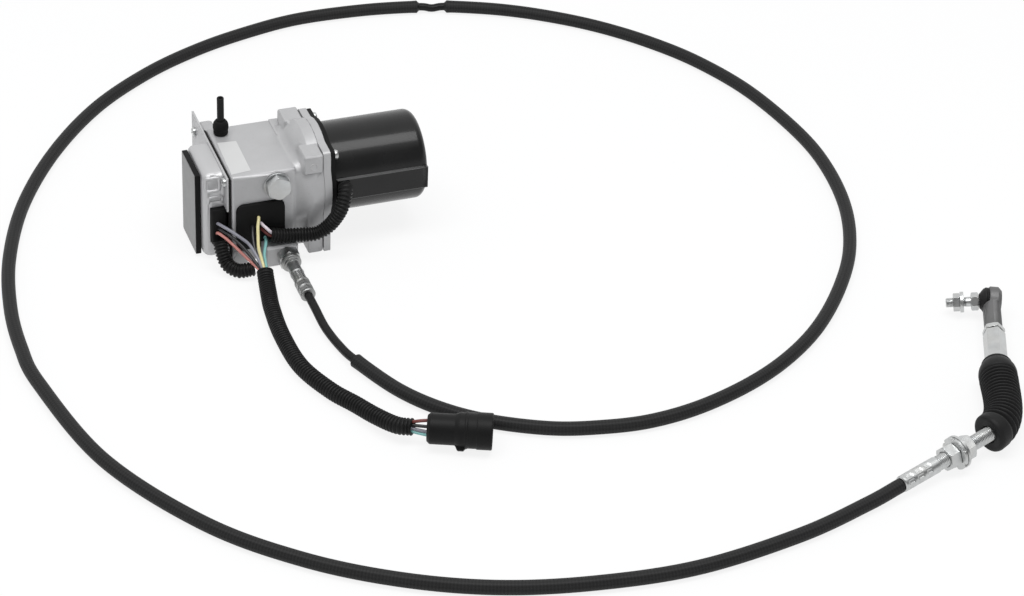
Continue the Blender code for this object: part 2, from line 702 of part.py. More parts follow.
def make_housing():
    """The cast gearbox: a box that opens to the cover, a round neck that opens to the motor, and its lugs."""
    body = block(
        "gearbox_housing", (LEFT, BOX_FRONT, 0), (RIGHT, BOX_BACK, BOX_HEIGHT), "paint", round_by=BOX_EDGE,
    )
    neck = make_neck()
    ear = block(
        "flange_shape", (LEFT, BOX_BACK - 5 * MM, 0), (LEFT + FLANGE_THICK, FLANGE_DEPTH, FLANGE_HEIGHT),
        helper=True, round_by=3 * MM,
    )
    join(body, neck, ear)
    lug_end = NECK_END - LUG_RECESS
    for side in (-1, 1):
        near, far = sorted((side * LUG_FACE, side * (EAR_PITCH - 12 * MM)))
        top = MOTOR_HEIGHT + EAR_CORNER + EAR_ROUND
        word = "front" if side < 0 else "back"
        upper = block(
            f"upper_{word}_lug", (lug_end - UPPER_LUG_LENGTH, near, MOTOR_HEIGHT + EAR_PITCH - 10 * MM),
            (lug_end, far, top), helper=True, round_by=1.2 * MM, segments=1,
        )
        lower = block(
            f"lower_{word}_lug", (lug_end - LOWER_LUG_LENGTH, near, 0), (lug_end, far, LOWER_LUG_TOP),
            helper=True, round_by=1.2 * MM, segments=1,
        )
        join(body, upper, lower)
    web = block(
        "neck_web", (RIGHT - 6 * MM, BOX_FRONT + NECK_WEB_IN, 6 * MM),
        (lug_end - 4 * MM, BOX_BACK - NECK_WEB_IN, MOTOR_HEIGHT - 6 * MM),
        helper=True, round_by=1.5 * MM, segments=1,
    )
    join(body, web)
    boss = block(
        "cable_boss", (BOSS_CENTRE_X - BOSS_WIDTH / 2, BOX_FRONT - BOSS_PROUD, 0),
        (BOSS_CENTRE_X + BOSS_WIDTH / 2, BOX_FRONT + WALL - OVERLAP, BOSS_HEIGHT), helper=True,
        round_by=2 * MM, segments=1,
    )
    foot = rod_shape(
        "foot_boss", FOOT_BOSS_RADIUS, -OVERLAP, FOOT_BOSS_PROUD,
        place((FOOT_BOSS_X, BOX_FRONT, FOOT_BOSS_RADIUS), (0, -1, 0)), 14,
    )
    pad = rod_shape(
        "plug_pad", PLUG_PAD_RADIUS, -OVERLAP, PLUG_PAD_PROUD,
        place((PLUG_X, BOX_FRONT, BOX_HEIGHT - PLUG_BELOW_TOP), (0, -1, 0)), 20,
    )
    inner_wall = RIGHT - END_WALL
    mouth = block(
        "mouth_hollow", (LEFT - OVERLAP, BOX_FRONT + WALL, FLOOR_WALL),
        (LEFT + 14 * MM, BOX_BACK - WALL, BOX_HEIGHT - WALL),
        helper=True,
    )
    corner_posts = mouth.modifiers.new("corner posts", "BEVEL")
    corner_posts.width = 14 * MM
    corner_posts.segments = 3
    corner_posts.limit_method = "WEIGHT"
    weights = mouth.data.attributes.new("bevel_weight_edge", "FLOAT", "EDGE")
    for edge in mouth.data.edges:
        a, b = (mouth.data.vertices[i].co for i in edge.vertices)
        weights.data[edge.index].value = 1.0 if abs(a.x - b.x) > 1e-6 else 0.0
    step = 0.2 * MM
    hollow = block(
        "hollow", (LEFT + 13 * MM, BOX_FRONT + WALL + step, FLOOR_WALL + step),
        (inner_wall, BOX_BACK - WALL - step, BOX_HEIGHT - WALL - step), helper=True, round_by=2 * MM,
        segments=1,
    )
    bore = turned(
        "gear_bore",
        [(0, NECK_LENGTH + OVERLAP), (RING_RADIUS + 2 * GAP, NECK_LENGTH + OVERLAP),
         (RING_RADIUS + 2 * GAP, GEAR_START - RIGHT - GAP),
         (CARRIER_RADIUS + 2 * GAP, GEAR_START - RIGHT - GAP),
         (CARRIER_RADIUS + 2 * GAP, CARRIER_START - RIGHT - GAP),
         (BEARING_OUTER + GAP, CARRIER_START - RIGHT - GAP),
         (BEARING_OUTER + GAP, BEARING_START - RIGHT - GAP),
         (BEARING_INNER + 3 * MM, BEARING_START - RIGHT - GAP), (BEARING_INNER + 3 * MM, -END_WALL - OVERLAP),
         (0, -END_WALL - OVERLAP)],
        along_motor(RIGHT), steps=32, helper=True,
    )
    window = flat(
        "window", [window_outline(0.0)], WALL + 4 * MM,
        place((0, BOX_FRONT + WALL + 2 * MM, 0), (0, -1, 0), (1, 0, 0)), helper=True,
    )
    cut(body, mouth, hollow, bore, window)
    join(body, boss, foot, pad)
    cable_bore = rod_shape(
        "cable_bore", CORE_ROD_RADIUS + 2 * CORE_ROD_RUN + 3 * MM, -OVERLAP, BOSS_PROUD + WALL + OVERLAP,
        place((CABLE_X, BOX_FRONT + WALL, CABLE_HEIGHT), (0, -1, 0)),
    )
    plug_hole = rod_shape(
        "plug_hole", PLUG_THREAD_RADIUS + GAP, -OVERLAP, WALL + PLUG_PAD_PROUD + OVERLAP,
        place((PLUG_X, BOX_FRONT + WALL, BOX_HEIGHT - PLUG_BELOW_TOP), (0, -1, 0)),
    )
    breather_hole = rod_shape(
        "breather_hole", BREATHER_TUBE_RADIUS + GAP, -3 * WALL, OVERLAP,
        place((BREATHER_X, BREATHER_Y, BOX_HEIGHT), (0, 0, 1)),
    )
    cut(body, cable_bore, plug_hole, breather_hole)
    for i, (y, z) in enumerate(cover_screw_places()):
        hole = rod_shape(
            f"cover_screw_hole_{i}", COVER_SCREW_RADIUS + GAP, -OVERLAP, COVER_SCREW_LENGTH,
            place((LEFT, y, z), (1, 0, 0)), 8,
        )
        cut(body, hole)
    for i, (y, z) in enumerate(ear_centres()):
        hole = rod_shape(
            f"motor_screw_hole_{i}", MOTOR_SCREW_RADIUS + GAP,
            MOTOR_FLANGE_END - NECK_END - MOTOR_SCREW_LENGTH - 1 * MM,
            OVERLAP, place((NECK_END, y, MOTOR_HEIGHT + z), (1, 0, 0)), 8,
        )
        cut(body, hole)
    return body


def window_outline(shrink):
    """The wiring window in the front wall, in X and Z."""
    low = (GROMMET_CENTRE_X - GROMMET_WIDTH / 2 + shrink, GROMMET_BOTTOM + shrink)
    high = (GROMMET_CENTRE_X + GROMMET_WIDTH / 2 - shrink, GROMMET_BOTTOM + GROMMET_HEIGHT - shrink)
    return rounded_rectangle(low, high, GROMMET_ROUND - shrink)


def front_frame(y):
    """Local X along +X, local Y along +Z and local Z towards the front."""
    return place((0, y, 0), (0, -1, 0), (1, 0, 0))


def make_gasket():
    outer = rounded_rectangle((BOX_FRONT + 0.2 * MM, GAP), (BOX_BACK - 0.2 * MM, BOX_HEIGHT), 3 * MM)
    gasket = flat(
        "housing_gasket",
        [outer, rounded_rectangle((BOX_FRONT + WALL, FLOOR_WALL), (BOX_BACK - WALL, BOX_HEIGHT - WALL),
          14 * MM)],
        GASKET_THICK, place((GASKET_END - GASKET_THICK, 0, 0), (1, 0, 0), (0, 1, 0)), "gasket",
    )
    ear = block(
        "gasket_ear", (GASKET_END - GASKET_THICK, BOX_BACK - 2 * MM, GAP),
        (GASKET_END, FLANGE_DEPTH - 0.5 * MM, FLANGE_HEIGHT - 0.5 * MM), helper=True,
    )
    join(gasket, ear)
    for i, (y, z) in enumerate(cover_screw_places()):
        cut(gasket, rod_shape(
            f"gasket_hole_{i}", COVER_SCREW_RADIUS + GAP, -2 * GASKET_THICK, OVERLAP,
            place((GASKET_END, y, z), (1, 0, 0)), 8,
        ))
    return gasket


def make_cover():
    """The pressed end cover: a flat rim sheet and a deep pan with soft corners, hollow inside."""
    cover = block(
        "end_cover", (COVER_FACE - COVER_SHEET, BOX_FRONT, GAP), (COVER_FACE, COVER_EAR_BACK, BOX_HEIGHT),
        "pressed",
    )
    pan = block(
        "pan_outside", (PAN_FACE, PAN_FRONT, PAN_BOTTOM), (COVER_FACE - OVERLAP, PAN_BACK, PAN_TOP),
        helper=True, round_by=PAN_ROUND, segments=3,
    )
    throat = block(
        "pan_throat", (PAN_FACE + PAN_ROUND, PAN_FRONT, PAN_BOTTOM),
        (COVER_FACE - OVERLAP / 2, PAN_BACK, PAN_TOP),
        helper=True,
    )
    corners = throat.modifiers.new("corners", "BEVEL")
    corners.width = PAN_ROUND
    corners.segments = 3
    corners.limit_method = "WEIGHT"
    weights = throat.data.attributes.new("bevel_weight_edge", "FLOAT", "EDGE")
    for edge in throat.data.edges:
        a, b = (throat.data.vertices[i].co for i in edge.vertices)
        weights.data[edge.index].value = 1.0 if abs(a.x - b.x) > 1e-6 else 0.0
    sheet = COVER_SHEET
    inside = block(
        "pan_inside", (PAN_FACE + sheet, PAN_FRONT + sheet, PAN_BOTTOM + sheet),
        (COVER_FACE + PAN_ROUND, PAN_BACK - sheet, PAN_TOP - sheet), helper=True,
        round_by=PAN_ROUND - sheet, segments=3,
    )
    join(cover, pan, throat)
    cut(cover, inside)
    for i, (bottom, top) in enumerate(PAN_RECESSES):
        cut(cover, block(
            f"pan_recess_{i}", (PAN_FACE + 5 * MM, PAN_FRONT - OVERLAP, PAN_TOP - bottom),
            (COVER_FACE - 4 * MM, PAN_FRONT + 0.8 * MM, PAN_TOP - top), helper=True,
        ))
    low, high = cover_grommet_box()
    cut(cover, block(
        "cover_notch", (low[0] - GAP, BOX_FRONT - OVERLAP, low[2] - GAP),
        (COVER_FACE + OVERLAP, PAN_FRONT + 3 * MM, high[2] + GAP), helper=True,
    ))
    for i, (y, z) in enumerate(cover_screw_places()):
        cut(cover, rod_shape(
            f"cover_hole_{i}", COVER_SCREW_RADIUS + GAP, -COVER_SHEET - 2 * OVERLAP, OVERLAP,
            place((COVER_FACE, y, z), (1, 0, 0)), 8,
        ))
    return cover


def cover_grommet_box():
    """The rubber block in the cover's front notch, from the sheet's gasket side outwards."""
    right = COVER_FACE
    low = (right - COVER_GROMMET_WIDTH, PAN_FRONT - COVER_GROMMET_PROUD, COVER_GROMMET_BOTTOM)
    high = (right, PAN_FRONT + 3 * MM - GAP, COVER_GROMMET_BOTTOM + COVER_GROMMET_HEIGHT)
    return low, high


def make_cover_fittings():
    flat(
        "cover_pad",
        [rounded_rectangle(
            (PAD_CENTRE_Y - PAD_WIDTH / 2, PAD_BOTTOM),
            (PAD_CENTRE_Y + PAD_WIDTH / 2, PAD_BOTTOM + PAD_HEIGHT),
            1.5 * MM, 2)],
        PAD_THICK, place((PAD_FACE, 0, 0), (1, 0, 0), (0, 1, 0)), "rubber",
    )
    low, high = cover_grommet_box()
    block("cover_grommet", low, high, "rubber", round_by=1.2 * MM)
    for i, (y, z) in enumerate(cover_screw_places()):
        head = COVER_SCREW_HEAD
        seat = COVER_SHEET + GAP
        turned(
            f"cover_screw_{i + 1}",
            [(0, seat + 2.6 * MM), (head * 0.7, seat + 2.4 * MM), (head, seat + 1.4 * MM), (head, seat),
             (COVER_SCREW_RADIUS, seat), (COVER_SCREW_RADIUS, -COVER_SCREW_LENGTH + 2 * MM),
             (0, -COVER_SCREW_LENGTH + 2 * MM)],
            place((COVER_FACE, y, z), (-1, 0, 0)), "zinc", 8,
        )


def make_grommet_and_breather():
    grommet = flat(
        "front_grommet", [window_outline(GAP)], WALL + GROMMET_PROUD,
        front_frame(BOX_FRONT + WALL), "rubber",
    )
    bevel(grommet, 1.0 * MM, 2)
    cut(grommet, block(
        "boss_room", (BOSS_CENTRE_X - BOSS_WIDTH / 2 - GAP, BOX_FRONT - BOSS_PROUD - OVERLAP, -OVERLAP),
        (BOSS_CENTRE_X + BOSS_WIDTH, BOX_FRONT + WALL + OVERLAP, BOSS_HEIGHT + GAP), helper=True,
    ))
    where = place((BREATHER_X, BREATHER_Y, BOX_HEIGHT + GAP), (0, 0, 1))
    bell = BREATHER_BELL_RADIUS
    height = BREATHER_BELL_HEIGHT
    inner = BREATHER_TUBE_RADIUS + GAP
    turned(
        "breather_cap",
        [(inner, height), (inner + 2 * MM, height), (bell, height - 4 * MM), (bell, 2 * MM),
         (bell - 1 * MM, 0), (inner, 0)],
        where, "rubber", 14, True,
    )
    ring_shape(
        "breather_tube", BREATHER_TUBE_RADIUS, BREATHER_BORE, -WALL, BREATHER_TUBE_HEIGHT, where,
        "rubber", 10,
    )


def make_plug():
    front = BOX_FRONT - PLUG_PAD_PROUD - GAP
    height = BOX_HEIGHT - PLUG_BELOW_TOP
    where = place((PLUG_X, front, height), (0, -1, 0), (1, 0, 0))
    ring_shape(
        "plug_washer", PLUG_WASHER_RADIUS, PLUG_THREAD_RADIUS + GAP, 0, PLUG_WASHER_THICK, where, "zinc", 20,
    )
    seat = PLUG_WASHER_THICK + GAP
    head_at = place((PLUG_X, front - seat, height), (0, -1, 0), (1, 0, 0))
    plug = flat("plug_bolt", [hexagon(PLUG_FLATS, math.radians(5))], PLUG_HEAD, head_at, "zinc")
    corner = PLUG_FLATS / math.sqrt(3)
    drum = turned(
        "plug_chamfer",
        [(0, PLUG_HEAD + OVERLAP), (PLUG_FLATS / 2 - 1.6 * MM, PLUG_HEAD + OVERLAP),
         (corner + 1 * MM, PLUG_HEAD - 1.6 * MM),
         (corner + 1 * MM, -OVERLAP), (0, -OVERLAP)],
        head_at, steps=12, helper=True,
    )
    boolean(plug, drum, "INTERSECT")
    join(plug, rod_shape("plug_thread", PLUG_THREAD_RADIUS, -PLUG_THREAD_LENGTH, OVERLAP, head_at))


def make_motor_case():
    holes = [circle(MOTOR_SCREW_RADIUS + GAP, 8, centre) for centre in ear_centres()]
    adapter = flat(
        "adapter_plate", [mounting_outline(), circle(ADAPTER_BORE, 24), *holes], ADAPTER_THICK,
        along_motor(ADAPTER_START), "paint",
    )
    for side in (-1, 1):
        near, far = sorted((side * (LUG_FACE - 0.5 * MM), side * (LUG_FACE - FOOT_WIDTH)))
        join(adapter, block(
            f"adapter_{'front' if side < 0 else 'back'}_foot", (ADAPTER_START + 0.3 * MM, near, 0),
            (ADAPTER_END - 0.3 * MM, far, MOTOR_HEIGHT - EAR_PITCH - 5 * MM), helper=True,
        ))
    flange = flat(
        "motor_flange", [mounting_outline(-0.8 * MM), circle(MOTOR_FLANGE_BORE + 1.5 * MM, 16), *holes],
        MOTOR_FLANGE_THICK,
        along_motor(MOTOR_FLANGE_START), "black",
    )
    seat = ring_shape(
        "bearing_seat", MOTOR_FLANGE_BORE + 3 * MM, MOTOR_FLANGE_BORE, -ADAPTER_THICK + 1 * MM,
        MOTOR_FLANGE_THICK - OVERLAP, along_motor(MOTOR_FLANGE_START), steps=16, helper=True,
    )
    join(flange, seat)
    inner = CAN_RADIUS - CAN_WALL
    bush = MOTOR_SHAFT_RADIUS + SHAFT_RUN
    end_wall = CAN_WALL * 1.5
    can = turned(
        "motor_can",
        [(0, CAN_LENGTH), (CAN_RADIUS - CAN_ROUND, CAN_LENGTH),
         (CAN_RADIUS - CAN_ROUND * 0.3, CAN_LENGTH - CAN_ROUND * 0.3),
         (CAN_RADIUS, CAN_LENGTH - CAN_ROUND), (CAN_RADIUS, 0), (inner, 0), (inner, CAN_LENGTH - CAN_ROUND),
         (inner - CAN_ROUND + CAN_WALL, CAN_LENGTH - end_wall), (bush + 4 * MM, CAN_LENGTH - end_wall),
         (bush + 4 * MM, CAN_LENGTH - 11 * MM), (bush, CAN_LENGTH - 11 * MM), (bush, CAN_LENGTH - end_wall),
         (0, CAN_LENGTH - end_wall)],
        along_motor(CAN_START), "black", 32,
    )
    strip = block(
        "can_strip", (CAN_START + 1 * MM, -CAN_RADIUS - STRIP_PROUD, MOTOR_HEIGHT - STRIP_WIDTH / 2),
        (CAN_END - STRIP_SHORT, -CAN_RADIUS + 8 * MM, MOTOR_HEIGHT + STRIP_WIDTH / 2), helper=True,
        round_by=1.2 * MM,
        segments=1,
    )
    room_end = CAN_LENGTH - end_wall - 1 * MM
    core = rod_shape("strip_room", inner + 0.8 * MM, -OVERLAP, room_end, along_motor(CAN_START), 32)
    cut(strip, core)
    join(can, strip)
    for i, (y, z) in enumerate(ear_centres()):
        head = MOTOR_SCREW_HEAD
        turned(
            f"motor_screw_{i + 1}",
            [(0, GAP + 4 * MM), (head - 0.8 * MM, GAP + 4 * MM), (head, GAP + 3.2 * MM), (head, GAP),
             (MOTOR_SCREW_RADIUS, GAP), (MOTOR_SCREW_RADIUS, -MOTOR_SCREW_LENGTH), (0, -MOTOR_SCREW_LENGTH)],
            place((MOTOR_FLANGE_END, y, MOTOR_HEIGHT + z), (1, 0, 0)), "zinc", 8,
        )


def tooth_ring(teeth, turn=0.0, inward=False):
    """Straight-sided teeth on their pitch circle: four points a tooth, tips pointing out or in."""
    pitch = GEAR_MODULE * teeth / 2
    way = -1 if inward else 1
    tip, root = pitch + way * ADDENDUM, pitch - way * DEDENDUM
    tip_half, root_half = TOOTH_HALF - ADDENDUM * TOOTH_SLOPE, TOOTH_HALF + DEDENDUM * TOOTH_SLOPE
    points = []
    for i in range(teeth):
        middle = turn + math.tau * i / teeth
        for radius, offset in ((root, -root_half), (tip, -tip_half), (tip, tip_half), (root, root_half)):
            angle = middle + offset / radius
            points.append((radius * math.cos(angle), radius * math.sin(angle)))
    return points


def make_armature(axis):
    """Shaft, slotted iron core and commutator pressed together, the sun pinion cut on the shaft's end."""
    shaft_start = GEAR_START + 1 * MM
    shaft_end = CAN_END - CAN_WALL * 1.5 - 2 * GAP
    armature = rod_shape(
        "armature", MOTOR_SHAFT_RADIUS, shaft_start, shaft_end, along_motor(0), 12, "steel", helper=False,
    )
    pinion_at = along_motor(GEAR_START + 0.5 * MM)
    pinion = flat("sun_teeth", [tooth_ring(SUN_TEETH)], GEAR_WIDTH - 1 * MM, pinion_at, helper=True)
    core_start = CAN_START + 15 * MM
    slots = []
    for i in range(CORE_SLOTS):
        middle = math.tau * i / CORE_SLOTS
        step = math.tau / CORE_SLOTS
        floor = CORE_RADIUS - 6 * MM
        for share, radius in ((-0.4, CORE_RADIUS), (0.4, CORE_RADIUS), (0.44, floor), (0.56, floor)):
            angle = middle + share * step
            slots.append((radius * math.cos(angle), radius * math.sin(angle)))
    core = flat("core_iron", [slots], CORE_LENGTH, along_motor(core_start), helper=True)
    drum_start = CAN_START + 3 * MM
    drum_end = drum_start + COMMUTATOR_LENGTH
    drum = rod_shape("commutator", COMMUTATOR_RADIUS, drum_start, drum_end, along_motor(0), 16)
    join(armature, pinion, core, drum)
    parented(armature, axis)
    magnets = []
    outer, inner = CAN_RADIUS - CAN_WALL - GAP, CAN_RADIUS - CAN_WALL - MAGNET_THICK
    for centre, word in ((90, "upper"), (270, "lower")):
        arc = [math.radians(centre - MAGNET_ARC / 2 + MAGNET_ARC * i / 8) for i in range(9)]
        outline = [(outer * math.cos(a), outer * math.sin(a)) for a in arc]
        outline += [(inner * math.cos(a), inner * math.sin(a)) for a in reversed(arc)]
        magnets.append(flat(f"{word}_magnet", [outline], CORE_LENGTH, along_motor(core_start), "magnet"))
    plate = ring_shape(
        "brush_plate", CAN_RADIUS - CAN_WALL - GAP, COMMUTATOR_RADIUS + 4 * MM, 0, BRUSH_PLATE_THICK,
        along_motor(CAN_START + 13 * MM - BRUSH_PLATE_THICK), "plastic", 20,
    )
    for side in (-1, 1):
        start, end = sorted((side * (COMMUTATOR_RADIUS + GAP), side * (COMMUTATOR_RADIUS + 14 * MM)))
        join(plate, block(
            f"brush_{'front' if side < 0 else 'back'}",
            (CAN_START + 4 * MM, start, MOTOR_HEIGHT - BRUSH_WIDTH / 2),
            (CAN_START + 13 * MM - BRUSH_PLATE_THICK / 2, end, MOTOR_HEIGHT + BRUSH_WIDTH / 2), helper=True,
        ))
    ring_shape(
        "motor_bearing", MOTOR_FLANGE_BORE - GAP, MOTOR_SHAFT_RADIUS + SHAFT_RUN, -ADAPTER_THICK + 1 * MM,
        2 * MM,
        along_motor(MOTOR_FLANGE_START), "steel", 16,
    )
    return magnets


def make_gears(carrier_axis):
    """A three-planet stage: the pinion drives the planets in the ring, and the carrier turns the crank."""
    flat(
        "ring_gear", [circle(RING_RADIUS, 32), tooth_ring(RING_TEETH, inward=True)], GEAR_WIDTH,
        along_motor(GEAR_START), "steel",
    )
    shoulder = CRANK_CENTRE + CRANK_THICK / 2
    carrier = turned(
        "gear_carrier",
        [(0, CARRIER_START + CARRIER_THICK), (CARRIER_RADIUS, CARRIER_START + CARRIER_THICK),
         (CARRIER_RADIUS, CARRIER_START), (BEARING_INNER - SHAFT_RUN, CARRIER_START),
         (BEARING_INNER - SHAFT_RUN, shoulder),
         (SENSOR_SHAFT, shoulder), (SENSOR_SHAFT, PAN_FACE + SENSOR_SHAFT_REACH),
         (0, PAN_FACE + SENSOR_SHAFT_REACH)],
        along_motor(0), "steel", 24,
    )
    for i in range(PLANETS):
        angle = math.tau * i / PLANETS
        centre = (CENTRE_DISTANCE * math.cos(angle), CENTRE_DISTANCE * math.sin(angle))
        at = along_motor(0) @ Matrix.Translation((centre[0], centre[1], 0))
        join(carrier, rod_shape(f"planet_pin_{i}", PLANET_PIN, CARRIER_START + OVERLAP, GEAR_END, at, 8))
        planet_at = along_motor(GEAR_START) @ Matrix.Translation((centre[0], centre[1], 0))
        planet_axis = joint_empty(f"planet_axis_{i + 1}", planet_at)
        parented(planet_axis, carrier_axis)
        teeth = tooth_ring(PLANET_TEETH, angle + math.pi / PLANET_TEETH)
        planet = flat(
            f"planet_gear_{i + 1}", [teeth, circle(PLANET_PIN + SHAFT_RUN, 8)], GEAR_WIDTH - 0.6 * MM,
            planet_at, "steel",
        )
        parented(planet, planet_axis)
    parented(carrier, carrier_axis)
    ring_shape(
        "output_bearing", BEARING_OUTER, BEARING_INNER, BEARING_START, BEARING_START + BEARING_WIDTH,
        along_motor(0), "steel", 20,
    )


def make_crank(carrier_axis):
    """The slotted arm on the output shaft. Its open end holds the cross pin of the cable's yoke."""
    reach = MOTOR_HEIGHT - CABLE_HEIGHT
    tip = reach + CRANK_PAST_PIN
    slot = CRANK_PIN + CRANK_PIN_PLAY
    lift = reach - 5 * MM
    outline = [(CRANK_TIP_HALF, -tip)]
    for i in range(9):
        angle = math.radians(-20 + 220 * i / 8)
        outline.append((CRANK_HUB * math.cos(angle), CRANK_HUB * math.sin(angle)))
    outline += [(-CRANK_TIP_HALF, -tip), (-slot, -tip)]
    for i in range(7):
        angle = math.radians(180 - 180 * i / 6)
        outline.append((slot * math.cos(angle), -lift + slot * math.sin(angle)))
    outline.append((slot, -tip))
    arm = flat(
        "crank_arm", [outline, circle(SENSOR_SHAFT + SHAFT_RUN, 12)], CRANK_THICK - GAP,
        along_motor(CRANK_CENTRE - CRANK_THICK / 2), "steel",
    )
    parented(arm, carrier_axis)


def make_cable_core(core_axis):
    """The yoke that the crank pulls, and the stiff wire that runs from it into the cable."""
    side = CRANK_THICK / 2 + GAP
    z0, z1 = CABLE_HEIGHT - YOKE_HEIGHT / 2, CABLE_HEIGHT + YOKE_HEIGHT / 2
    x0, x1 = CABLE_X - side - YOKE_SIDE, CABLE_X + side + YOKE_SIDE
    yoke = block("cable_core", (x0, -YOKE_BACK, z0), (x1, 4 * MM, z1), "zinc")
    cut(yoke, block(
        "yoke_slot", (CABLE_X - side, -YOKE_BACK + 3 * MM, z0 - OVERLAP),
        (CABLE_X + side, 4 * MM + OVERLAP, z1 + OVERLAP), helper=True,
    ))
    join(yoke, rod_shape(
        "cross_pin", CRANK_PIN, x0 + OVERLAP, x1 - OVERLAP, place((0, 0, CABLE_HEIGHT), (1, 0, 0)), 12,
    ))
    wire_end = BOSS_PROUD - BOX_FRONT + FITTING_NUT + FITTING_LOCK_NUT + FITTING_TUBE - CORE_TRAVEL
    join(yoke, rod_shape(
        "core_wire", CORE_ROD_RADIUS, YOKE_BACK - OVERLAP, wire_end,
        place((CABLE_X, 0, CABLE_HEIGHT), (0, -1, 0)), 10,
    ))
    parented(yoke, core_axis)


def make_sensor():
    ring_shape(
        "position_sensor", SENSOR_RADIUS, SENSOR_SHAFT + SHAFT_RUN, PAN_FACE + COVER_SHEET + GAP,
        PAN_FACE + COVER_SHEET + GAP + SENSOR_THICK, along_motor(0), "plastic", 20,
    )


def make_cable_end():
    """The hex nut that holds the cable in its boss, and the hollow tube with the crimp on the jacket."""
    where = place((CABLE_X, BOX_FRONT - BOSS_PROUD - GAP, CABLE_HEIGHT), (0, -1, 0), (1, 0, 0))
    room = CORE_ROD_RADIUS + CORE_ROD_RUN
    nut("cable_nut", FITTING_FLATS, FITTING_NUT, room + 0.6 * MM, where)
    start = FITTING_NUT + GAP
    tube_end = start + FITTING_LOCK_NUT + FITTING_TUBE
    crimp_end = tube_end + CRIMP_LENGTH
    fitting = turned(
        "cable_fitting",
        [(0, crimp_end), (CRIMP_RADIUS - 1 * MM, crimp_end), (CRIMP_RADIUS, crimp_end - 1 * MM),
         (CRIMP_RADIUS, tube_end + 1 * MM), (FITTING_TUBE_RADIUS, tube_end), (FITTING_TUBE_RADIUS, start),
         (room, start), (room, tube_end), (0, tube_end)],
        where, "zinc", 16,
    )
    collar = flat(
        "fitting_collar", [hexagon(FITTING_FLATS), circle(room + 1 * MM, 12)], FITTING_LOCK_NUT,
        where @ Matrix.Translation((0, 0, start + 0.2 * MM)), helper=True,
    )
    join(fitting, collar)


def make_cords():
    tube("cable_jacket_near", smooth_route(JACKET_NEAR_ROUTE, CORD_STEP / 2), JACKET_DIAMETER / 2)
    tube("cable_sleeve_near", smooth_route(SLEEVE_NEAR_ROUTE, CORD_STEP), SLEEVE_DIAMETER / 2)
    tube("cable_jacket_gap", smooth_route(JACKET_GAP_ROUTE, CORD_STEP / 2), JACKET_DIAMETER / 2)
    tube("cable_sleeve_far", smooth_route(SLEEVE_FAR_ROUTE, CORD_STEP), SLEEVE_DIAMETER / 2)
    tube("main_conduit", smooth_route(MAIN_CONDUIT_ROUTE, CONDUIT_STEP), CONDUIT_DIAMETER / 2)
    tube("motor_conduit", smooth_route(MOTOR_CONDUIT_ROUTE, SHORT_STEP), MOTOR_CONDUIT_DIAMETER / 2)
    tube("sensor_conduit", smooth_route(SENSOR_CONDUIT_ROUTE, SHORT_STEP), SENSOR_CONDUIT_DIAMETER / 2)
    tube("front_wires", smooth_route(FRONT_LOOM_ROUTE, SHORT_STEP), LOOM_DIAMETER / 2, "wire")
    tube("cover_wires", smooth_route(COVER_LOOM_ROUTE, SHORT_STEP), LOOM_DIAMETER / 2, "wire")


def hub_frame():
    rise = math.atan2(HUB_HEIGHT_END - HUB_HEIGHT_START, HUB_LENGTH)
    way = (math.cos(rise) * math.cos(HUB_DIRECTION), math.cos(rise) * math.sin(HUB_DIRECTION), math.sin(rise))
    return place((*HUB_START, HUB_HEIGHT_START), way, (0, 0, 1)), Vector(way)


def make_hub():
    """The crimp and threaded tube that a bracket clamps between two nuts, with a toothed washer."""
    where, way = hub_frame()
    turned(
        "cable_hub",
        [(0, HUB_CRIMP), (HUB_BORE, HUB_CRIMP), (HUB_BORE, HUB_LENGTH),
         (HUB_THREAD_RADIUS - 1 * MM, HUB_LENGTH),
         (HUB_THREAD_RADIUS, HUB_LENGTH - 1 * MM), (HUB_THREAD_RADIUS, HUB_CRIMP + 2 * MM),
         (HUB_CRIMP_RADIUS, HUB_CRIMP),
         (HUB_CRIMP_RADIUS, 1 * MM), (HUB_CRIMP_RADIUS - 1 * MM, 0), (0, 0)],
        where, "zinc", 16,
    )
    bore = HUB_THREAD_RADIUS + GAP
    at = HUB_NUT_AT
    nut("hub_nut_1", HUB_NUT_FLATS, HUB_NUT_THICK, bore, where @ Matrix.Translation((0, 0, at)))
    at += HUB_NUT_THICK + GAP
    washer = ring_shape(
        "hub_washer", LOCK_WASHER_RADIUS, bore, 0, LOCK_WASHER_THICK,
        where @ Matrix.Translation((0, 0, at)), "zinc", 20,
    )
    at += LOCK_WASHER_THICK + GAP
    nut("hub_nut_2", HUB_NUT_FLATS, HUB_NUT_THICK, bore, where @ Matrix.Translation((0, 0, at)))
    return washer, where.translation + way * HUB_LENGTH, way


def rod_frame():
    way = Vector((math.cos(ROD_DIRECTION), math.sin(ROD_DIRECTION), 0))
    return place((*ROD_COLLAR_AT, ROD_HEIGHT), way, (0, 0, 1)), way


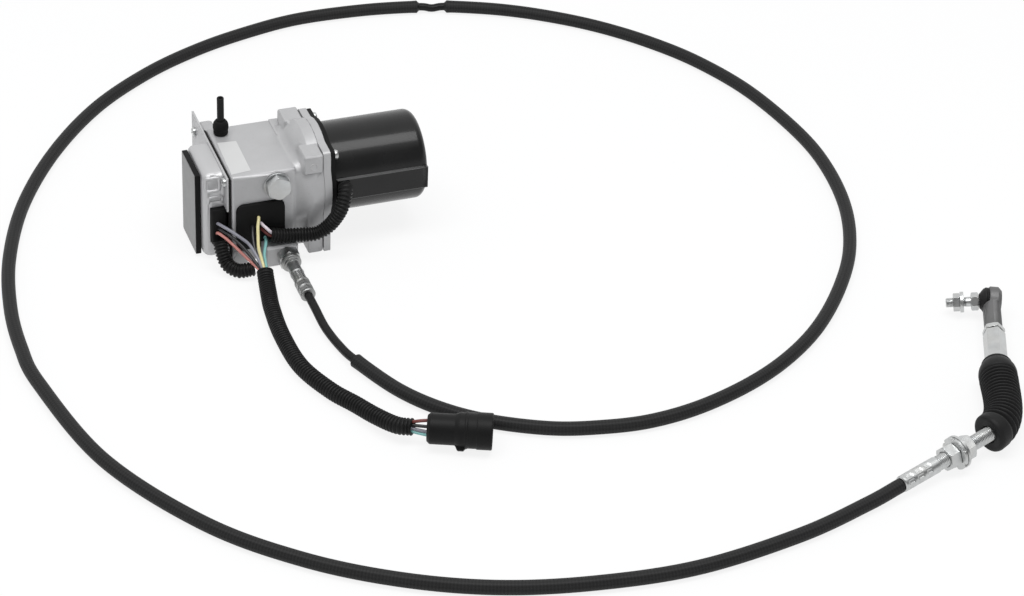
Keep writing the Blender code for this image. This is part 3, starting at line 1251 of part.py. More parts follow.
def make_boot(hub_end, hub_way):
    """The rubber bellows: rings of changing radius carried along a bend from the hub's end to the rod."""
    collar, rod_way = rod_frame()
    start = hub_end - hub_way * 6 * MM
    end = collar.translation
    reach = (end - start).length
    a, b = start + hub_way * reach * 0.3, end - rod_way * reach * 0.42

    def on_bend(t):
        s = 1 - t
        return start * s ** 3 + a * 3 * s * s * t + b * 3 * s * t * t + end * t ** 3

    def slope(t):
        s = 1 - t
        return ((a - start) * 3 * s * s + (b - a) * 6 * s * t + (end - b) * 3 * t * t).normalized()

    lower, upper = HUB_THREAD_RADIUS + GAP, ROD_FLATS / math.sqrt(3) + GAP
    stations = [(0.0, BOOT_RADIUS - 2 * MM), (0.02, BOOT_RADIUS), (0.1, BOOT_RADIUS)]
    for i in range(BOOT_FOLDS):
        t = 0.11 + 0.75 * i / BOOT_FOLDS
        stations += [(t, BOOT_VALLEY), (t + 0.42 / BOOT_FOLDS, BOOT_RADIUS)]
    stations += [(0.865, BOOT_VALLEY), (0.885, BOOT_RADIUS), (0.95, BOOT_RADIUS - 0.8 * MM),
     (1.0, upper + 2.2 * MM)]
    bore = BOOT_VALLEY - BOOT_WALL
    linings = [(0.0, lower + 2 * GAP), (0.03, lower + 3 * GAP), (0.06, bore)]
    linings += [(0.075 + 0.9 * i / BOOT_FOLDS, bore) for i in range(1, BOOT_FOLDS)] + [(0.97, bore),
     (1.0, upper)]
    shape = bmesh.new()
    outer_rings, inner_rings = [], []
    for rings, sections in ((outer_rings, stations), (inner_rings, linings)):
        for t, radius in sections:
            centre, way = on_bend(t), slope(t)
            side = Vector((0, 0, 1))
            across = way.cross(side)
            ring = []
            for i in range(BOOT_STEPS):
                angle = math.tau * i / BOOT_STEPS
                out = across * math.cos(angle) + side * math.sin(angle)
                ring.append(shape.verts.new(centre + out * radius))
            rings.append(ring)
    for rings in (outer_rings, inner_rings):
        for first, second in zip(rings, rings[1:]):
            for i in range(BOOT_STEPS):
                j = (i + 1) % BOOT_STEPS
                shape.faces.new((first[i], first[j], second[j], second[i]))
    for outer, inner in ((outer_rings[0], inner_rings[0]), (outer_rings[-1], inner_rings[-1])):
        for i in range(BOOT_STEPS):
            j = (i + 1) % BOOT_STEPS
            shape.faces.new((outer[i], outer[j], inner[j], inner[i]))
    bmesh.ops.recalc_face_normals(shape, faces=shape.faces)
    mesh = bpy.data.meshes.new("bellows_boot")
    shape.to_mesh(mesh)
    shape.free()
    add_object("bellows_boot", mesh, Matrix.Identity(4), "rubber")


def make_rod(rod_axis):
    where, way = rod_frame()
    thread_end = ROD_LENGTH - ROD_INSIDE_BOOT + 16 * MM
    rod = flat(
        "push_rod", [hexagon(ROD_FLATS)], ROD_LENGTH,
        where @ Matrix.Translation((0, 0, -ROD_INSIDE_BOOT)), "zinc",
    )
    bevel(rod, 0.5 * MM, 1, 70)
    thread_start = ROD_LENGTH - ROD_INSIDE_BOOT - OVERLAP
    join(rod, rod_shape("rod_thread", ROD_THREAD_RADIUS, thread_start, thread_end, where, 12))
    parented(rod, rod_axis)
    jam_at = ROD_LENGTH - ROD_INSIDE_BOOT + GAP
    jam_frame = where @ Matrix.Translation((0, 0, jam_at))
    jam = nut("jam_nut", JAM_NUT_FLATS, JAM_NUT_THICK, ROD_THREAD_RADIUS + GAP, jam_frame)
    parented(jam, rod_axis)
    shank_at = jam_at + JAM_NUT_THICK + GAP
    head_at = shank_at + ROD_END_REACH
    ball = where.translation + way * head_at
    stud_way = (Matrix.Rotation(math.pi / 2, 3, "Z") @ way)
    level = math.cos(STUD_DROOP)
    droop = Vector((stud_way.x * level, stud_way.y * level, -math.sin(STUD_DROOP)))
    body = turned(
        "rod_end",
        [(0, head_at - BALL_RADIUS - 2 * MM), (ROD_END_SHANK, head_at - BALL_RADIUS - 2 * MM),
         (ROD_END_SHANK, shank_at + 1 * MM),
         (ROD_END_SHANK - 1 * MM, shank_at), (0, shank_at)],
        where, "grey_steel", 16,
    )
    head_frame = place(ball, stud_way, way)
    head = turned(
        "rod_end_head",
        [(0, ROD_END_FACE), (ROD_END_HEAD - 0.8 * MM, ROD_END_FACE), (ROD_END_HEAD, ROD_END_FACE - 0.8 * MM),
         (ROD_END_HEAD, -ROD_END_BACK + 3 * MM), (ROD_END_HEAD - 3 * MM, -ROD_END_BACK), (0, -ROD_END_BACK)],
        head_frame, steps=16, helper=True,
    )
    room = BALL_RADIUS + 2 * GAP
    socket = turned(
        "ball_socket",
        [(0, ROD_END_FACE + OVERLAP), (BALL_RADIUS * 1.2, ROD_END_FACE + OVERLAP),
         (BALL_RADIUS * 0.94, BALL_RADIUS * 0.5)]
        + [(room * math.cos(math.radians(a)), room * math.sin(math.radians(a))) for a in (10, -15, -40, -65)]
        + [(0, -room)],
        head_frame, steps=16, helper=True,
    )
    thread_hole = rod_shape(
        "rod_end_thread", ROD_THREAD_RADIUS + GAP, shank_at - OVERLAP, thread_end + 2 * GAP, where, 12,
    )
    boot_room = rod_shape(
        "boot_room", ROD_END_HEAD + 2 * GAP, ROD_END_FACE, ROD_END_FACE + ROD_END_SHANK, head_frame, 20,
    )
    join(body, head)
    cut(body, boot_room, socket, thread_hole)
    parented(body, rod_axis)
    stud_frame = place(ball, droop, way)
    collar_at = STUD_COLLAR_AT
    ball_points = [
        (BALL_RADIUS * math.cos(math.radians(a)), BALL_RADIUS * math.sin(math.radians(a)))
        for a in (35, 12, -12, -35, -60)
    ]
    neck_at = math.sqrt(BALL_RADIUS ** 2 - STUD_NECK ** 2)
    stud = turned(
        "ball_stud",
        [(0, STUD_LENGTH), (STUD_THREAD_RADIUS - 0.8 * MM, STUD_LENGTH),
         (STUD_THREAD_RADIUS, STUD_LENGTH - 0.8 * MM),
         (STUD_THREAD_RADIUS, collar_at + 1 * MM), (STUD_NECK, collar_at), (STUD_NECK, neck_at),
         *ball_points, (0, -BALL_RADIUS)],
        stud_frame, "zinc", 14,
    )
    collar = flat(
        "stud_collar", [hexagon(STUD_COLLAR_FLATS)], STUD_COLLAR_THICK,
        stud_frame @ Matrix.Translation((0, 0, collar_at)),
        helper=True,
    )
    join(stud, collar)
    tilt_axis = joint_empty("stud_tilt_axis", place(ball, way))
    parented(tilt_axis, rod_axis)
    spin_axis = joint_empty("stud_spin_axis", stud_frame)
    parented(spin_axis, tilt_axis)
    parented(stud, spin_axis)
    at = collar_at + STUD_COLLAR_THICK + STUD_CLAMP
    washer = ring_shape(
        "stud_washer", STUD_WASHER_RADIUS, STUD_THREAD_RADIUS + GAP, 0, STUD_WASHER_THICK,
        stud_frame @ Matrix.Translation((0, 0, at)), "zinc", 16,
    )
    parented(washer, spin_axis)
    stud_nut = nut(
        "stud_nut", STUD_COLLAR_FLATS, STUD_NUT_THICK, STUD_THREAD_RADIUS + GAP,
        stud_frame @ Matrix.Translation((0, 0, at + STUD_WASHER_THICK + GAP)),
    )
    parented(stud_nut, spin_axis)
    dust = make_dust_boot(ball, way, stud_way, droop)
    parented(dust, tilt_axis)
    return ball


def make_dust_boot(ball, side, head_way, stud_way):
    """A rubber skirt: its wide lip lies square on the rod end's face, its narrow top square on the stud."""
    base = ROD_END_FACE + GAP
    top = STUD_COLLAR_AT - GAP
    wide = DUST_BOOT_RADIUS
    bore = STUD_NECK + GAP
    profile = [
        (bore, top, 1.0), (DUST_BOOT_TOP, top, 1.0), (wide - 1.6 * MM, (base + top) / 2 + 1 * MM, 0.5),
        (wide, base + 2.4 * MM, 0.15), (wide, base + 0.8 * MM, 0.0), (wide - 0.8 * MM, base, 0.0),
        (BALL_RADIUS * 1.2, base, 0.0), (BALL_RADIUS + GAP, base + 1.6 * MM, 0.5), (bore, top - 2 * MM, 1.0),
    ]
    shape = bmesh.new()
    rings = []
    for radius, height, share in profile:
        out = (head_way * (1 - share) + stud_way * share).normalized()
        across = out.cross(side).normalized()
        rings.append([
            shape.verts.new(ball + out * height + (side * math.cos(a) + across * math.sin(a)) * radius)
            for a in (math.tau * i / BOOT_STEPS for i in range(BOOT_STEPS))
        ])
    for first, second in zip(rings, rings[1:] + rings[:1]):
        for i in range(BOOT_STEPS):
            j = (i + 1) % BOOT_STEPS
            shape.faces.new((first[i], first[j], second[j], second[i]))
    bmesh.ops.recalc_face_normals(shape, faces=shape.faces)
    mesh = bpy.data.meshes.new("dust_boot")
    shape.to_mesh(mesh)
    shape.free()
    return add_object("dust_boot", mesh, Matrix.Identity(4), "rubber")


def make_connector():
    """The round plug: a ribbed rear half, a collar, and an open shroud with its pins standing inside."""
    way = Vector((math.cos(PLUG_DIRECTION), math.sin(PLUG_DIRECTION), 0))
    where = place((*PLUG_START, PLUG_HEIGHT), way, (0, 0, 1))
    end = SHELL_REAR + SHROUD
    floor = end - SHROUD_DEPTH
    shell = turned(
        "connector_shell",
        [(0, floor), (SHROUD_RADIUS - SHROUD_WALL, floor), (SHROUD_RADIUS - SHROUD_WALL, end),
         (SHROUD_RADIUS, end),
         (SHROUD_RADIUS, end - 12 * MM), (SHROUD_RADIUS - 0.6 * MM, end - 12.6 * MM),
         (SHROUD_RADIUS - 0.6 * MM, SHELL_REAR + 2 * MM),
         (SHROUD_RADIUS - 1.6 * MM, SHELL_REAR), (SHELL_REAR_RADIUS, SHELL_REAR), (SHELL_REAR_RADIUS, 3 * MM),
         (SHELL_REAR_RADIUS - 2.5 * MM, 0), (0, 0)],
        where, "plastic", 18,
    )
    lug = block(
        "connector_lug", (-4.5 * MM, -2 * MM, -2 * MM), (4.5 * MM, 5 * MM, 9 * MM), helper=True,
        round_by=0.8 * MM,
    )
    lug.matrix_world = where @ Matrix.Rotation(math.radians(-90), 4, "Z") @ Matrix.Translation(
        (0, SHELL_REAR_RADIUS - 1.5 * MM, SHELL_REAR + 1 * MM)
    )
    join(shell, lug)
    insert = turned(
        "connector_pins",
        [(0, floor + 2.6 * MM), (SHROUD_RADIUS - SHROUD_WALL - GAP, floor + 2.6 * MM),
         (SHROUD_RADIUS - SHROUD_WALL - GAP, floor + GAP),
         (0, floor + GAP)],
        where, "grey_steel", 16,
    )
    for i in range(PINS):
        angle = math.tau * i / PINS
        at = where @ Matrix.Translation((PIN_CIRCLE * math.cos(angle), PIN_CIRCLE * math.sin(angle), 0))
        join(insert, rod_shape(f"pin_{i}", PIN_RADIUS, floor + 1 * MM, floor + 2.6 * MM + PIN_LENGTH, at, 6))
    return where


def main():
    global PARTS, HELPERS
    clear_scene()
    PARTS = new_collection("throttle_motor", False)
    HELPERS = new_collection("cutters", True)
    make_housing()
    make_gasket()
    make_cover()
    make_cover_fittings()
    make_grommet_and_breather()
    make_plug()
    make_motor_case()
    armature_axis = joint_empty("armature_axis", along_motor(0))
    carrier_axis = joint_empty("carrier_axis", along_motor(0))
    core_axis = joint_empty("cable_core_axis", place((CABLE_X, 0, CABLE_HEIGHT), (0, 1, 0)))
    make_armature(armature_axis)
    make_gears(carrier_axis)
    make_crank(carrier_axis)
    make_cable_core(core_axis)
    make_sensor()
    make_cable_end()
    make_cords()
    _, hub_end, hub_way = make_hub()
    make_boot(hub_end, hub_way)
    rod_at, _ = rod_frame()
    rod_axis = joint_empty("push_rod_axis", rod_at)
    make_rod(rod_axis)
    make_connector()


main()
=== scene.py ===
# %% [markdown]
# # Throttle motor
# A geared electric motor that pulls an engine's throttle through a long push-pull cable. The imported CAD
# model gives every place, so each new surface here is worked out from the same sizes as the solids.

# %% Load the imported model
import math

import bmesh
import bpy
import numpy as np
from mathutils import Matrix, Vector


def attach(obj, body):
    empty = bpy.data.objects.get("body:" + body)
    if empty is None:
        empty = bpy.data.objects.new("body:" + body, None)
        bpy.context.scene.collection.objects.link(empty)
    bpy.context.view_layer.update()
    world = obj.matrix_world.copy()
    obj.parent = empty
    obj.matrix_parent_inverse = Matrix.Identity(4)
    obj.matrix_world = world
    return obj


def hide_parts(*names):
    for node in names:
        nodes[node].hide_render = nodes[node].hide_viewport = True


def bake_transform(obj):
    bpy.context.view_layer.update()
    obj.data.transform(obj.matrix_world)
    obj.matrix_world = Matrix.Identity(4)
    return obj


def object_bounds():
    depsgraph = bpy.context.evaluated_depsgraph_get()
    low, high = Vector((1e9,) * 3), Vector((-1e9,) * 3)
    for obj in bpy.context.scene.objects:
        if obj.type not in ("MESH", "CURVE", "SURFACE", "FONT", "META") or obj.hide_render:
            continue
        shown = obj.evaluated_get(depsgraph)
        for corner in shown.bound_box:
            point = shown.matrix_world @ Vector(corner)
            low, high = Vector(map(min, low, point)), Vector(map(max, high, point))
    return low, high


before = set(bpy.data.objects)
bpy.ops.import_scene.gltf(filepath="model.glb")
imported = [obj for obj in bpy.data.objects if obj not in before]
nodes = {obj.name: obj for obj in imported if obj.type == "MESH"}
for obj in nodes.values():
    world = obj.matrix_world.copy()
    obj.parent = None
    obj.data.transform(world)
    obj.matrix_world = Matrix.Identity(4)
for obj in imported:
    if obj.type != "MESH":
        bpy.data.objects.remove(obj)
cad_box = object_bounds()
MM = 0.001
print("CAD box in mm:", [[round(v / MM, 1) for v in corner] for corner in cad_box])

# %% [markdown]
# ## Camera
# The camera of a photograph is one place, one direction and one lens. Here they are worked out from the
# angles at which the picture was taken: how far the camera looks down, how far it is turned, and its tilt.

# %% Camera
LOOK_DOWN, TURN, TILT = (math.radians(v) for v in (35.0077, 21.1095, 2.6793))
LOOKED_AT = Vector((0.179754, -0.148970, 0.0))
CAMERA_DISTANCE = 2.725474
PICTURE_WIDTH, FOCAL_PIXELS = 1024, 3300
SENSOR_WIDTH = 36


def make_camera():
    """Three directions square to each other: forward, and right and up turned by the tilt around it."""
    forward = Vector((
        math.cos(LOOK_DOWN) * math.sin(TURN), math.cos(LOOK_DOWN) * math.cos(TURN), -math.sin(LOOK_DOWN),
    ))
    level = Vector((math.cos(TURN), -math.sin(TURN), 0.0))
    above = level.cross(forward)
    right = level * math.cos(TILT) + above * math.sin(TILT)
    up = above * math.cos(TILT) - level * math.sin(TILT)
    lens = bpy.data.cameras.new("camera")
    lens.sensor_width = SENSOR_WIDTH
    lens.lens = FOCAL_PIXELS / PICTURE_WIDTH * SENSOR_WIDTH
    lens.clip_start, lens.clip_end = 0.05, 60
    made = bpy.data.objects.new("camera", lens)
    made.matrix_world = Matrix((right, up, -forward)).transposed().to_4x4()
    made.matrix_world.translation = LOOKED_AT - forward * CAMERA_DISTANCE
    bpy.context.scene.collection.objects.link(made)
    bpy.context.scene.camera = made
    return made


camera = make_camera()
print("camera at", [round(v, 3) for v in camera.matrix_world.translation])

# %% [markdown]
# ## Surfaces on a grid
# Almost every new piece is one grid of points: rows run along it and columns run round it. A grid is quick
# to compute as whole arrays, its faces follow from the row and column numbers, and its UV map is simply how
# far along and how far round each point lies.

# %% Grid to mesh
SHARP = math.radians(38)


def grid_faces(rows, columns, wrap_rows=False):
    """Four corner numbers a face: this row, the next row, and the next column, which wraps round."""
    index = np.arange(rows * columns).reshape(rows, columns)
    after = np.roll(index, -1, axis=0) if wrap_rows else index[1:]
    here = index if wrap_rows else index[:-1]
    return np.stack([here, after, np.roll(after, -1, 1), np.roll(here, -1, 1)], axis=-1).reshape(-1, 4)


def new_piece(name, points, quads, fans, finishes, along, round_, slots):
    """A mesh from points, four-cornered faces and three-cornered end fans, its faces turned outwards."""
    corners = np.concatenate([quads.ravel(), fans.ravel()]).astype(np.int32)
    sizes = np.concatenate([np.full(len(quads), 4), np.full(len(fans), 3)]).astype(np.int32)
    mesh = bpy.data.meshes.new(name)
    mesh.vertices.add(len(points))
    mesh.vertices.foreach_set("co", np.asarray(points, np.float32).ravel())
    mesh.loops.add(len(corners))
    mesh.loops.foreach_set("vertex_index", corners)
    mesh.polygons.add(len(sizes))
    mesh.polygons.foreach_set("loop_start", np.concatenate([[0], np.cumsum(sizes)[:-1]]).astype(np.int32))
    mesh.update(calc_edges=True)
    uv = mesh.uv_layers.new(name="along")
    values = np.zeros((len(corners), 2), np.float32)
    values[:len(along)] = np.stack([along, round_], axis=1)
    uv.data.foreach_set("uv", values.ravel())
    if slots is not None:
        mesh.polygons.foreach_set("material_index", slots.astype(np.int32))
    shape = bmesh.new()
    shape.from_mesh(mesh)
    bmesh.ops.recalc_face_normals(shape, faces=shape.faces)
    shape.to_mesh(mesh)
    shape.free()
    mesh.shade_smooth()
    mesh.set_sharp_from_angle(angle=SHARP)
    made = bpy.data.objects.new(name, mesh)
    bpy.context.scene.collection.objects.link(made)
    for finish in finishes:
        mesh.materials.append(finish)
    return made


def skin(name, grid, finishes, lengths=None, wrap_rows=False, slots=None):
    """A closed skin over a grid of points. Each open end gets a fan of faces round its middle point."""
    rows, columns = grid.shape[:2]
    points = grid.reshape(-1, 3)
    quads = grid_faces(rows, columns, wrap_rows)
    fans = np.zeros((0, 3), int)
    if lengths is None:
        lengths = np.arange(rows, dtype=float)
    here, after = lengths, np.roll(lengths, -1)
    if not wrap_rows:
        here, after = lengths[:-1], lengths[1:]
        points = np.vstack([points, grid[0].mean(0), grid[-1].mean(0)])
        ring = np.arange(columns)
        first = np.stack([np.full(columns, rows * columns), ring, np.roll(ring, -1)], axis=1)
        last = first + (rows - 1) * columns
        last[:, 0] = rows * columns + 1
        fans = np.vstack([first, last])
    u = np.stack([here, after, after, here], axis=-1)
    step = np.arange(columns) / columns
    v = np.stack([step, step, step + 1 / columns, step + 1 / columns], axis=-1)
    along = np.repeat(u[:, None, :], columns, axis=1).ravel()
    round_ = np.repeat(v[None, :, :], len(u), axis=0).ravel()
    if slots is not None:
        slots = np.concatenate([np.repeat(slots, columns), np.full(len(fans), slots[0])])
    return new_piece(name, points, quads, fans, finishes, along, round_, slots)


print("a grid of 3 rows and 4 columns has", len(grid_faces(3, 4)), "faces, and 12 if its rows wrap round")

# %% [markdown]
# ## Round and six-sided pieces
# Bolts, nuts, tubes and cups are a profile turned about an axis. The profile is a list of radius and height.
# A hexagon, a thread or a row of dimples is the same grid with the radius changed by angle and height.

# %% Directions and fades
def unit(values):
    values = np.asarray(values, float)
    return values / np.linalg.norm(values, axis=-1, keepdims=True)


def axis_frame(origin, axis, side=(0.0, 0.0, 1.0)):
    """Origin and three square directions: the side made square to the axis, its partner, and the axis."""
    axis = unit(axis)
    side = np.asarray(side, float)
    side = unit(side - axis * side.dot(axis))
    return np.asarray(origin, float), side, np.cross(axis, side), axis


def even_angles(sides):
    return np.arange(sides) * math.tau / sides


def from_middle(angle, turn, count):
    """How far an angle lies from the middle of the nearest of several equal parts of the turn."""
    part = math.tau / count
    return np.mod(angle - turn + part / 2, part) - part / 2


def between(height, low, high, over):
    """1 between two heights in mm and 0 outside them, with a straight fade at each end."""
    rise, fall = (np.clip(away / (over * MM), 0, 1) for away in (height - low * MM, high * MM - height))
    return rise * fall


def running_length(points):
    """The distance from the first point to each one."""
    return np.concatenate([[0], np.cumsum(np.linalg.norm(np.diff(points, axis=0), axis=1))])


away = math.degrees(from_middle(math.radians(50), 0, 6))
print("on a hexagon, an angle of 50 degrees lies", round(away), "degrees from a flat's middle")

# %% [markdown]
# A turned shape takes its radius from the profile, and a second function may change it at each angle and
# height: flats, threads, crimps and lugs are all made this way.

# %% Turned shapes
def rounded(profile, radius, steps=4):
    """A profile in mm whose inner corners turn on arcs: each corner is a quadratic curve between two cuts."""
    profile = np.asarray(profile, float)
    out = [profile[:1]]
    for before, corner, after in zip(profile[:-2], profile[1:-1], profile[2:]):
        a, b = before - corner, after - corner
        cut_a = min(radius, np.linalg.norm(a) * 0.45)
        cut_b = min(radius, np.linalg.norm(b) * 0.45)
        a, b = corner + unit(a) * cut_a, corner + unit(b) * cut_b
        t = np.linspace(0, 1, steps)[:, None]
        out.append(a * (1 - t) ** 2 + corner * 2 * t * (1 - t) + b * t ** 2)
    out.append(profile[-1:])
    return np.vstack(out)


def turned(name, profile, where, finish, sides=48, shape=None, wrap=False, angles=None):
    """Point = origin + axis * height + (side * cos a + across * sin a) * radius; shape changes the radius."""
    origin, side, across, axis = where
    profile = np.asarray(profile, float) * MM
    a = even_angles(sides) if angles is None else angles
    radius = np.repeat(profile[:, :1], len(a), axis=1)
    if shape is not None:
        radius = shape(radius, a[None, :], profile[:, 1:])
    out = side * np.cos(a)[:, None] + across * np.sin(a)[:, None]
    grid = origin + axis * profile[:, 1][:, None, None] + out[None] * radius[..., None]
    run = running_length(profile)
    return skin(name, grid, [finish], run, wrap)


def steps_from(turn, sides):
    """Even angles that start on a flat's middle, so that six corners fall on grid lines and stay sharp."""
    return turn + even_angles(sides)


def hexagon(flats, turn, above):
    """Over a radius in mm, the radius is cut to the nearest flat: half the width / cos(angle from it)."""
    def shape(radius, angle, height):
        flat = flats * MM / 2 / np.cos(from_middle(angle, turn, 6))
        return np.where(radius > above * MM, np.minimum(radius, flat), radius)
    return shape


def screw_thread(depth, pitch, low, high):
    """Between two heights the radius falls and rises once a pitch, and the wave climbs once a turn."""
    def shape(radius, angle, height):
        wave = np.abs(np.mod(height / (pitch * MM) - angle / math.tau, 1.0) * 2 - 1)
        inside = (height > low * MM) & (height < high * MM)
        return radius - inside * depth * MM * np.clip(wave * 1.6 - 0.3, 0, 1)
    return shape


def rod_profile(radius, low, high, step):
    """Many heights at one radius, for a shape that changes along the rod."""
    at = np.linspace(low, high, max(2, round((high - low) / step) + 1))
    return np.stack([np.full(len(at), radius), at], axis=1)


print("across the corners, a 13 mm hexagon measures", round(13 / math.cos(math.tau / 12), 1), "mm")

# %% [markdown]
# ## Paths
# A cable, conduit or wire lies on one smooth curve. A Catmull-Rom curve passes through every point that is
# given, so the route's points are simply where the cable lies. The points are the same as in the CAD source.

# %% Smooth paths and tubes
def smooth_path(route, step):
    """Catmull-Rom through the points in mm, then points at even steps in metres, and their distances."""
    knots = np.asarray(route, float)
    padded = np.vstack([2 * knots[0] - knots[1], knots, 2 * knots[-1] - knots[-2]])
    a, b, c, d = (padded[i:len(padded) - 3 + i, None, :] for i in range(4))
    t = np.linspace(0, 1, 24, endpoint=False)[None, :, None]
    fine = 0.5 * (
        2 * b + (c - a) * t + (2 * a - 5 * b + 4 * c - d) * t ** 2 + (3 * b - a - 3 * c + d) * t ** 3
    )
    fine = np.vstack([fine.reshape(-1, 3), knots[-1:]])
    run = running_length(fine)
    even = np.linspace(0, run[-1], max(2, round(run[-1] / step)) + 1)
    return np.stack([np.interp(even, run, fine[:, k]) for k in range(3)], axis=1) * MM, even * MM


def rings(path, way, radii, sides, hint=(0.0, 0.0, 1.0)):
    """Rings square to the way: point = centre + (side * cos a + across * sin a) * radius at that ring."""
    hint = np.asarray(hint, float)
    side = unit(hint - way * (way @ hint)[:, None])
    across = np.cross(way, side)
    a = even_angles(sides)
    out = side[:, None] * np.cos(a)[None, :, None] + across[:, None] * np.sin(a)[None, :, None]
    return path[:, None] + out * np.asarray(radii, float)[:, None, None]


def sweep(path, radii, sides, hint=(0.0, 0.0, 1.0)):
    return rings(path, unit(np.gradient(path, axis=0)), radii, sides, hint)


print("a straight route of 10 mm gives", len(smooth_path([(0, 0, 0), (10, 0, 0)], 1.0)[1]), "points at 1 mm")

# %% [markdown]
# ## Shader maths
# A procedural finish is a sum of patterns. The small class below lets a pattern be written as plain
# arithmetic, and adds the Math nodes behind it. Every other node comes from one method.

# %% Signal
class Signal:
    """One output socket. Arithmetic on it adds the Math node that works the answer out."""

    def __init__(self, finish, socket):
        self.finish, self.socket = finish, socket

    def math(self, operation, *values):
        return self.finish.node("Math", {"operation": operation}, dict(enumerate(values)))

    def __add__(self, other):
        return self.math("ADD", self, other)

    __radd__ = __add__

    def __mul__(self, other):
        return self.math("MULTIPLY", self, other)

    __rmul__ = __mul__

    def __sub__(self, other):
        return self.math("SUBTRACT", self, other)

    def __rsub__(self, other):
        return self.math("SUBTRACT", other, self)

    def __truediv__(self, other):
        return self.math("DIVIDE", self, other)

    def __gt__(self, other):
        return self.math("GREATER_THAN", self, other)

    def sine(self):
        return self.math("SINE", self)


print("a signal can be added, multiplied, divided, compared and turned into a sine")

# %% [markdown]
# A finish is one material. Its patterns are read from the object's own place or from the UV map, and the
# edges are shaded as if they were slightly rounded.

# %% Finish
class Finish:
    """A material being made: node() adds any node by its type, its settings and then its sockets."""

    def __init__(self, name, roughness=0.5, metallic=0.0, **constants):
        self.material = bpy.data.materials.new(name)
        self.material.use_nodes = True
        self.tree = self.material.node_tree
        self.shader = self.tree.nodes["Principled BSDF"]
        self.put("Roughness", roughness)
        self.put("Metallic", metallic)
        for socket, value in constants.items():
            self.put(socket.replace("_", " "), value)

    def node(self, kind, settings=None, sockets=None, out=0):
        made = self.tree.nodes.new("ShaderNode" + kind)
        for name, value in (settings or {}).items():
            if name == "stops":
                for extra in value[2:]:
                    made.color_ramp.elements.new(extra[0])
                for element, (place, colour) in zip(made.color_ramp.elements, value):
                    element.position, element.color = place, (*colour, 1)
            else:
                setattr(made, name, value)
        for name, value in (sockets or {}).items():
            self.feed(made.inputs[name], value)
        return Signal(self, made.outputs[out]) if made.outputs else None

    def feed(self, socket, value):
        if isinstance(value, Signal):
            self.tree.links.new(value.socket, socket)
        else:
            socket.default_value = value

    def put(self, name, value):
        self.feed(self.shader.inputs[name], value)

    def place(self):
        return self.node("TexCoord", out="Object")

    def uv(self):
        """How far along in metres, and how far round from 0 to 1."""
        found = self.node("UVMap", {"uv_map": "along"})
        return self.part(found, 0), self.part(found, 1)

    def part(self, vector, number):
        """One of a vector's three parts: 0, 1 or 2 for X, Y or Z."""
        return self.node("SeparateXYZ", sockets={0: vector}, out=number)

    def largest(self, *values):
        """The largest of several values."""
        found = values[0]
        for value in values[1:]:
            found = self.node("Math", {"operation": "MAXIMUM"}, {0: found, 1: value})
        return found

    def noise(self, scale, detail=3.0, roughness=0.5, at=None):
        return self.node("TexNoise", sockets={
            "Vector": at or self.place(), "Scale": scale, "Detail": detail, "Roughness": roughness,
        })

    def mix(self, factor, a, b):
        a, b = (v if isinstance(v, Signal) else (*v, 1.0) for v in (a, b))
        return self.node("Mix", {"data_type": "RGBA"}, {0: factor, 6: a, 7: b}, out=2)

    def bump(self, height, distance, strength=1.0, normal=None):
        sockets = {"Height": height, "Distance": distance, "Strength": strength}
        if normal is not None:
            sockets["Normal"] = normal
        self.put("Normal", self.node("Bump", sockets=sockets))

    def soft_edges(self, radius):
        """The shading of a rounded edge, without changing the shape."""
        return self.node("Bevel", {"samples": 4}, {"Radius": radius * MM})


def grey(value, tint=(1.0, 1.0, 1.0)):
    return tuple(value * t for t in tint)


print("a middle grey with a trace of blue:", grey(0.5, (1, 1, 1.01)))


# %% [markdown]
# ## Cast and pressed metal
# The gearbox is a die casting under silver-grey paint. Paint on a casting shows a fine orange peel, a faint
# cloudiness and small dark specks. The cover is pressed from sheet, so it is brighter and smoother.

# %% Cast housing and pressed cover
def cast_paint():
    made = Finish("cast_paint", metallic=0.35)
    cloud = made.noise(38, 4)
    speck = made.noise(900, 2) > 0.66
    made.put("Base Color", made.mix(
        speck * 0.25, made.mix(cloud, grey(0.40, (1, 1, 1.01)), grey(0.50, (1, 1, 1.01))), grey(0.28),
    ))
    made.put("Roughness", 0.36 + made.noise(160, 3) * 0.16)
    made.bump(made.noise(520, 3) + made.noise(90, 2) * 0.6, 0.00012, 0.5, made.soft_edges(0.35))
    return made.material


def pressed_paint():
    made = Finish("pressed_paint", metallic=0.55)
    cloud = made.noise(24, 3)
    made.put("Base Color", made.mix(cloud, grey(0.47, (1, 1, 1.01)), grey(0.56, (1, 1, 1.01))))
    made.put("Roughness", 0.36 + made.noise(120, 3) * 0.16)
    made.bump(made.noise(300, 3), 0.0001, 0.35, made.soft_edges(0.9))
    return made.material


CAST, PRESSED = cast_paint(), pressed_paint()
print("made", CAST.name, PRESSED.name)

# %% [markdown]
# ## Plated and bare steel
# Bright zinc has a bluish tint, fine machining marks that run round the piece, and a slightly clouded
# gloss. The ball joint's housing is forged and darker. The gears and shafts inside are machined steel.

# %% Steels
def zinc(name, base=0.56, rough=0.27):
    made = Finish(name, metallic=1.0)
    cloud = made.noise(150, 4)
    fine = made.noise(1400, 2)
    tint = made.mix(made.noise(60, 2), (0.93, 0.97, 1.0), (1.0, 0.99, 0.95))
    tone = made.mix(cloud, grey(base * 0.78), grey(base * 1.2))
    made.put("Base Color", made.node(
        "Mix", {"data_type": "RGBA", "blend_type": "MULTIPLY"}, {0: 1.0, 6: tone, 7: tint}, out=2,
    ))
    made.put("Roughness", rough + cloud * 0.14)
    made.bump(fine + cloud * 0.5, 0.00005, 0.4, made.soft_edges(0.25))
    return made.material


